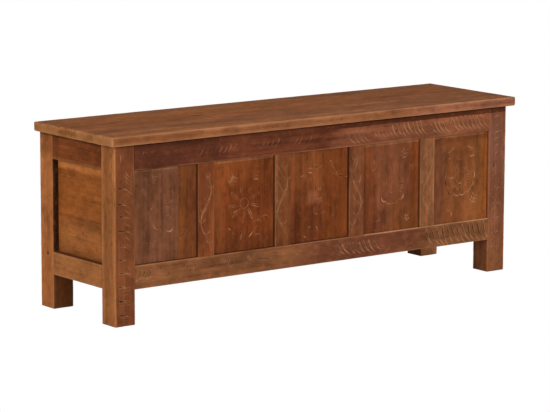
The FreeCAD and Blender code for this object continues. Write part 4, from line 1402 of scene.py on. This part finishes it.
def turned_screw(name, head, shank, length):
    """A countersunk screw with its head at the origin, driven along -Z."""
    angles = [2 * math.pi * k / SCREW_SIDES for k in range(SCREW_SIDES)]
    cross = [cross_radius(angle, 0.62 * head, 0.2 * head) for angle in angles]
    rings = [
        ([0.75 * reach for reach in cross], -0.55 * head),
        (cross, -0.02 * head),
        ([0.93 * head] * SCREW_SIDES, -0.02 * head),
        ([head] * SCREW_SIDES, -0.1 * head),
        ([shank] * SCREW_SIDES, shank - head),
        ([shank] * SCREW_SIDES, 1.5 * shank - length),
        ([0.25 * shank] * SCREW_SIDES, -length),
    ]
    vertices = [(0, 0, -0.6 * head)]
    faces = []
    for reaches, height in rings:
        vertices += [(r * math.cos(a), r * math.sin(a), height) for r, a in zip(reaches, angles)]
    for k in range(SCREW_SIDES):
        after = (k + 1) % SCREW_SIDES
        faces.append((0, 1 + k, 1 + after))
        for ring in range(len(rings) - 1):
            start = 1 + ring * SCREW_SIDES
            faces.append((start + k, start + SCREW_SIDES + k, start + SCREW_SIDES + after, start + after))
    faces.append([1 + (len(rings) - 1) * SCREW_SIDES + k for k in reversed(range(SCREW_SIDES))])
    mesh = bpy.data.meshes.new(name)
    mesh.from_pydata(vertices, [], faces)
    return bpy.data.objects.new(name, mesh)


print("a screw has", SCREW_SIDES, "sides")

# %% Places of the screws
def solids_of(node):
    """The box of each separate solid of a node."""
    shell = bmesh.new()
    shell.from_mesh(frame["nodes"][node].data)
    bmesh.ops.remove_doubles(shell, verts=shell.verts, dist=NO_LENGTH)
    left = set(shell.verts)
    boxes = []
    while left:
        found, waiting = set(), [left.pop()]
        while waiting:
            vertex = waiting.pop()
            found.add(vertex)
            for edge in vertex.link_edges:
                other = edge.other_vert(vertex)
                if other in left:
                    left.remove(other)
                    waiting.append(other)
        places = np.array([vertex.co for vertex in found])
        boxes.append((places.min(0), places.max(0)))
    shell.free()
    return sorted(boxes, key=lambda box: tuple(np.round(box[0], 4)))


print(len(solids_of("batten_screws")), "screws hold the battens")

# %% Screws in their places
MOST_TWIST, TWIST_SEED = 3.1, 7
screw_tree, given = start_tree("driven_screws", {
    "Geometry": "Geometry", "Screw": "Object", "Seed": "Int", "Material": "Material",
})
wire = given["Geometry"]
screw = wire.add("GeometryNodeObjectInfo", {}, {"Object": given["Screw"], "As Instance": True}, "Geometry")
aim = attribute(wire, "aim", "FLOAT_VECTOR")
aimed = wire.add("FunctionNodeAlignRotationToVector", {"axis": "Z"}, {"Vector": aim})
chance = {2: 0.0, 3: MOST_TWIST, "Seed": given["Seed"]}
twist = wire.add("FunctionNodeRandomValue", {"data_type": "FLOAT"}, chance, 1)
turned = wire.add("FunctionNodeEulerToRotation", {}, {0: vector_of(wire, 0.0, 0.0, twist)})
spun = wire.add("FunctionNodeRotateRotation", {"rotation_space": "LOCAL"}, {0: aimed, 1: turned})
driven = wire.add("GeometryNodeInstanceOnPoints", {}, {"Points": wire, "Instance": screw, "Rotation": spun})
end_tree(driven, given["Material"])

screw_steel = plated_steel("screw_steel", paint(188, 176, 148), paint(134, 122, 98), 0.34)
# A group of screws has the radius of its heads and shanks, their length, and the way the heads point.
screw_groups = {
    "hinge_frame_screws": (0.0033, 0.0015, 0.015, "up"),
    "hinge_lid_screws": (0.0033, 0.0015, 0.015, "down"),
    "batten_screws": (0.004, 0.002, 0.027, "down"),
    "cleat_screws": (0.004, 0.002, 0.032, "in"),
}
for number, (node, (head, shank, length, heads)) in enumerate(screw_groups.items()):
    places, aims = [], []
    for low, high in solids_of(node):
        middle = (low + high) / 2
        reach = (high - low) / 2
        if heads == "in":
            axis = int(np.argmax(reach))
            way = np.zeros(3)
            way[axis] = -math.copysign(1, middle[axis])
        else:
            way = np.array((0, 0, 1.0 if heads == "up" else -1.0))
        places.append(middle + way * reach)
        aims.append(way)
    screws = new_piece(node + "_turned", places, [])
    screws.data.attributes.new("aim", "FLOAT_VECTOR", "POINT").data.foreach_set("vector", np.ravel(aims))
    one = turned_screw(f"one_{node}", head, shank, length)
    run_tree(screws, screw_tree, {"Screw": one, "Seed": TWIST_SEED + number, "Material": screw_steel})
    bpy.data.objects.remove(one)
    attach(screws, frame["nodes"][node]["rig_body"])
    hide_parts(node)
    print(screws.name, len(places), "screws")

# %% [markdown]
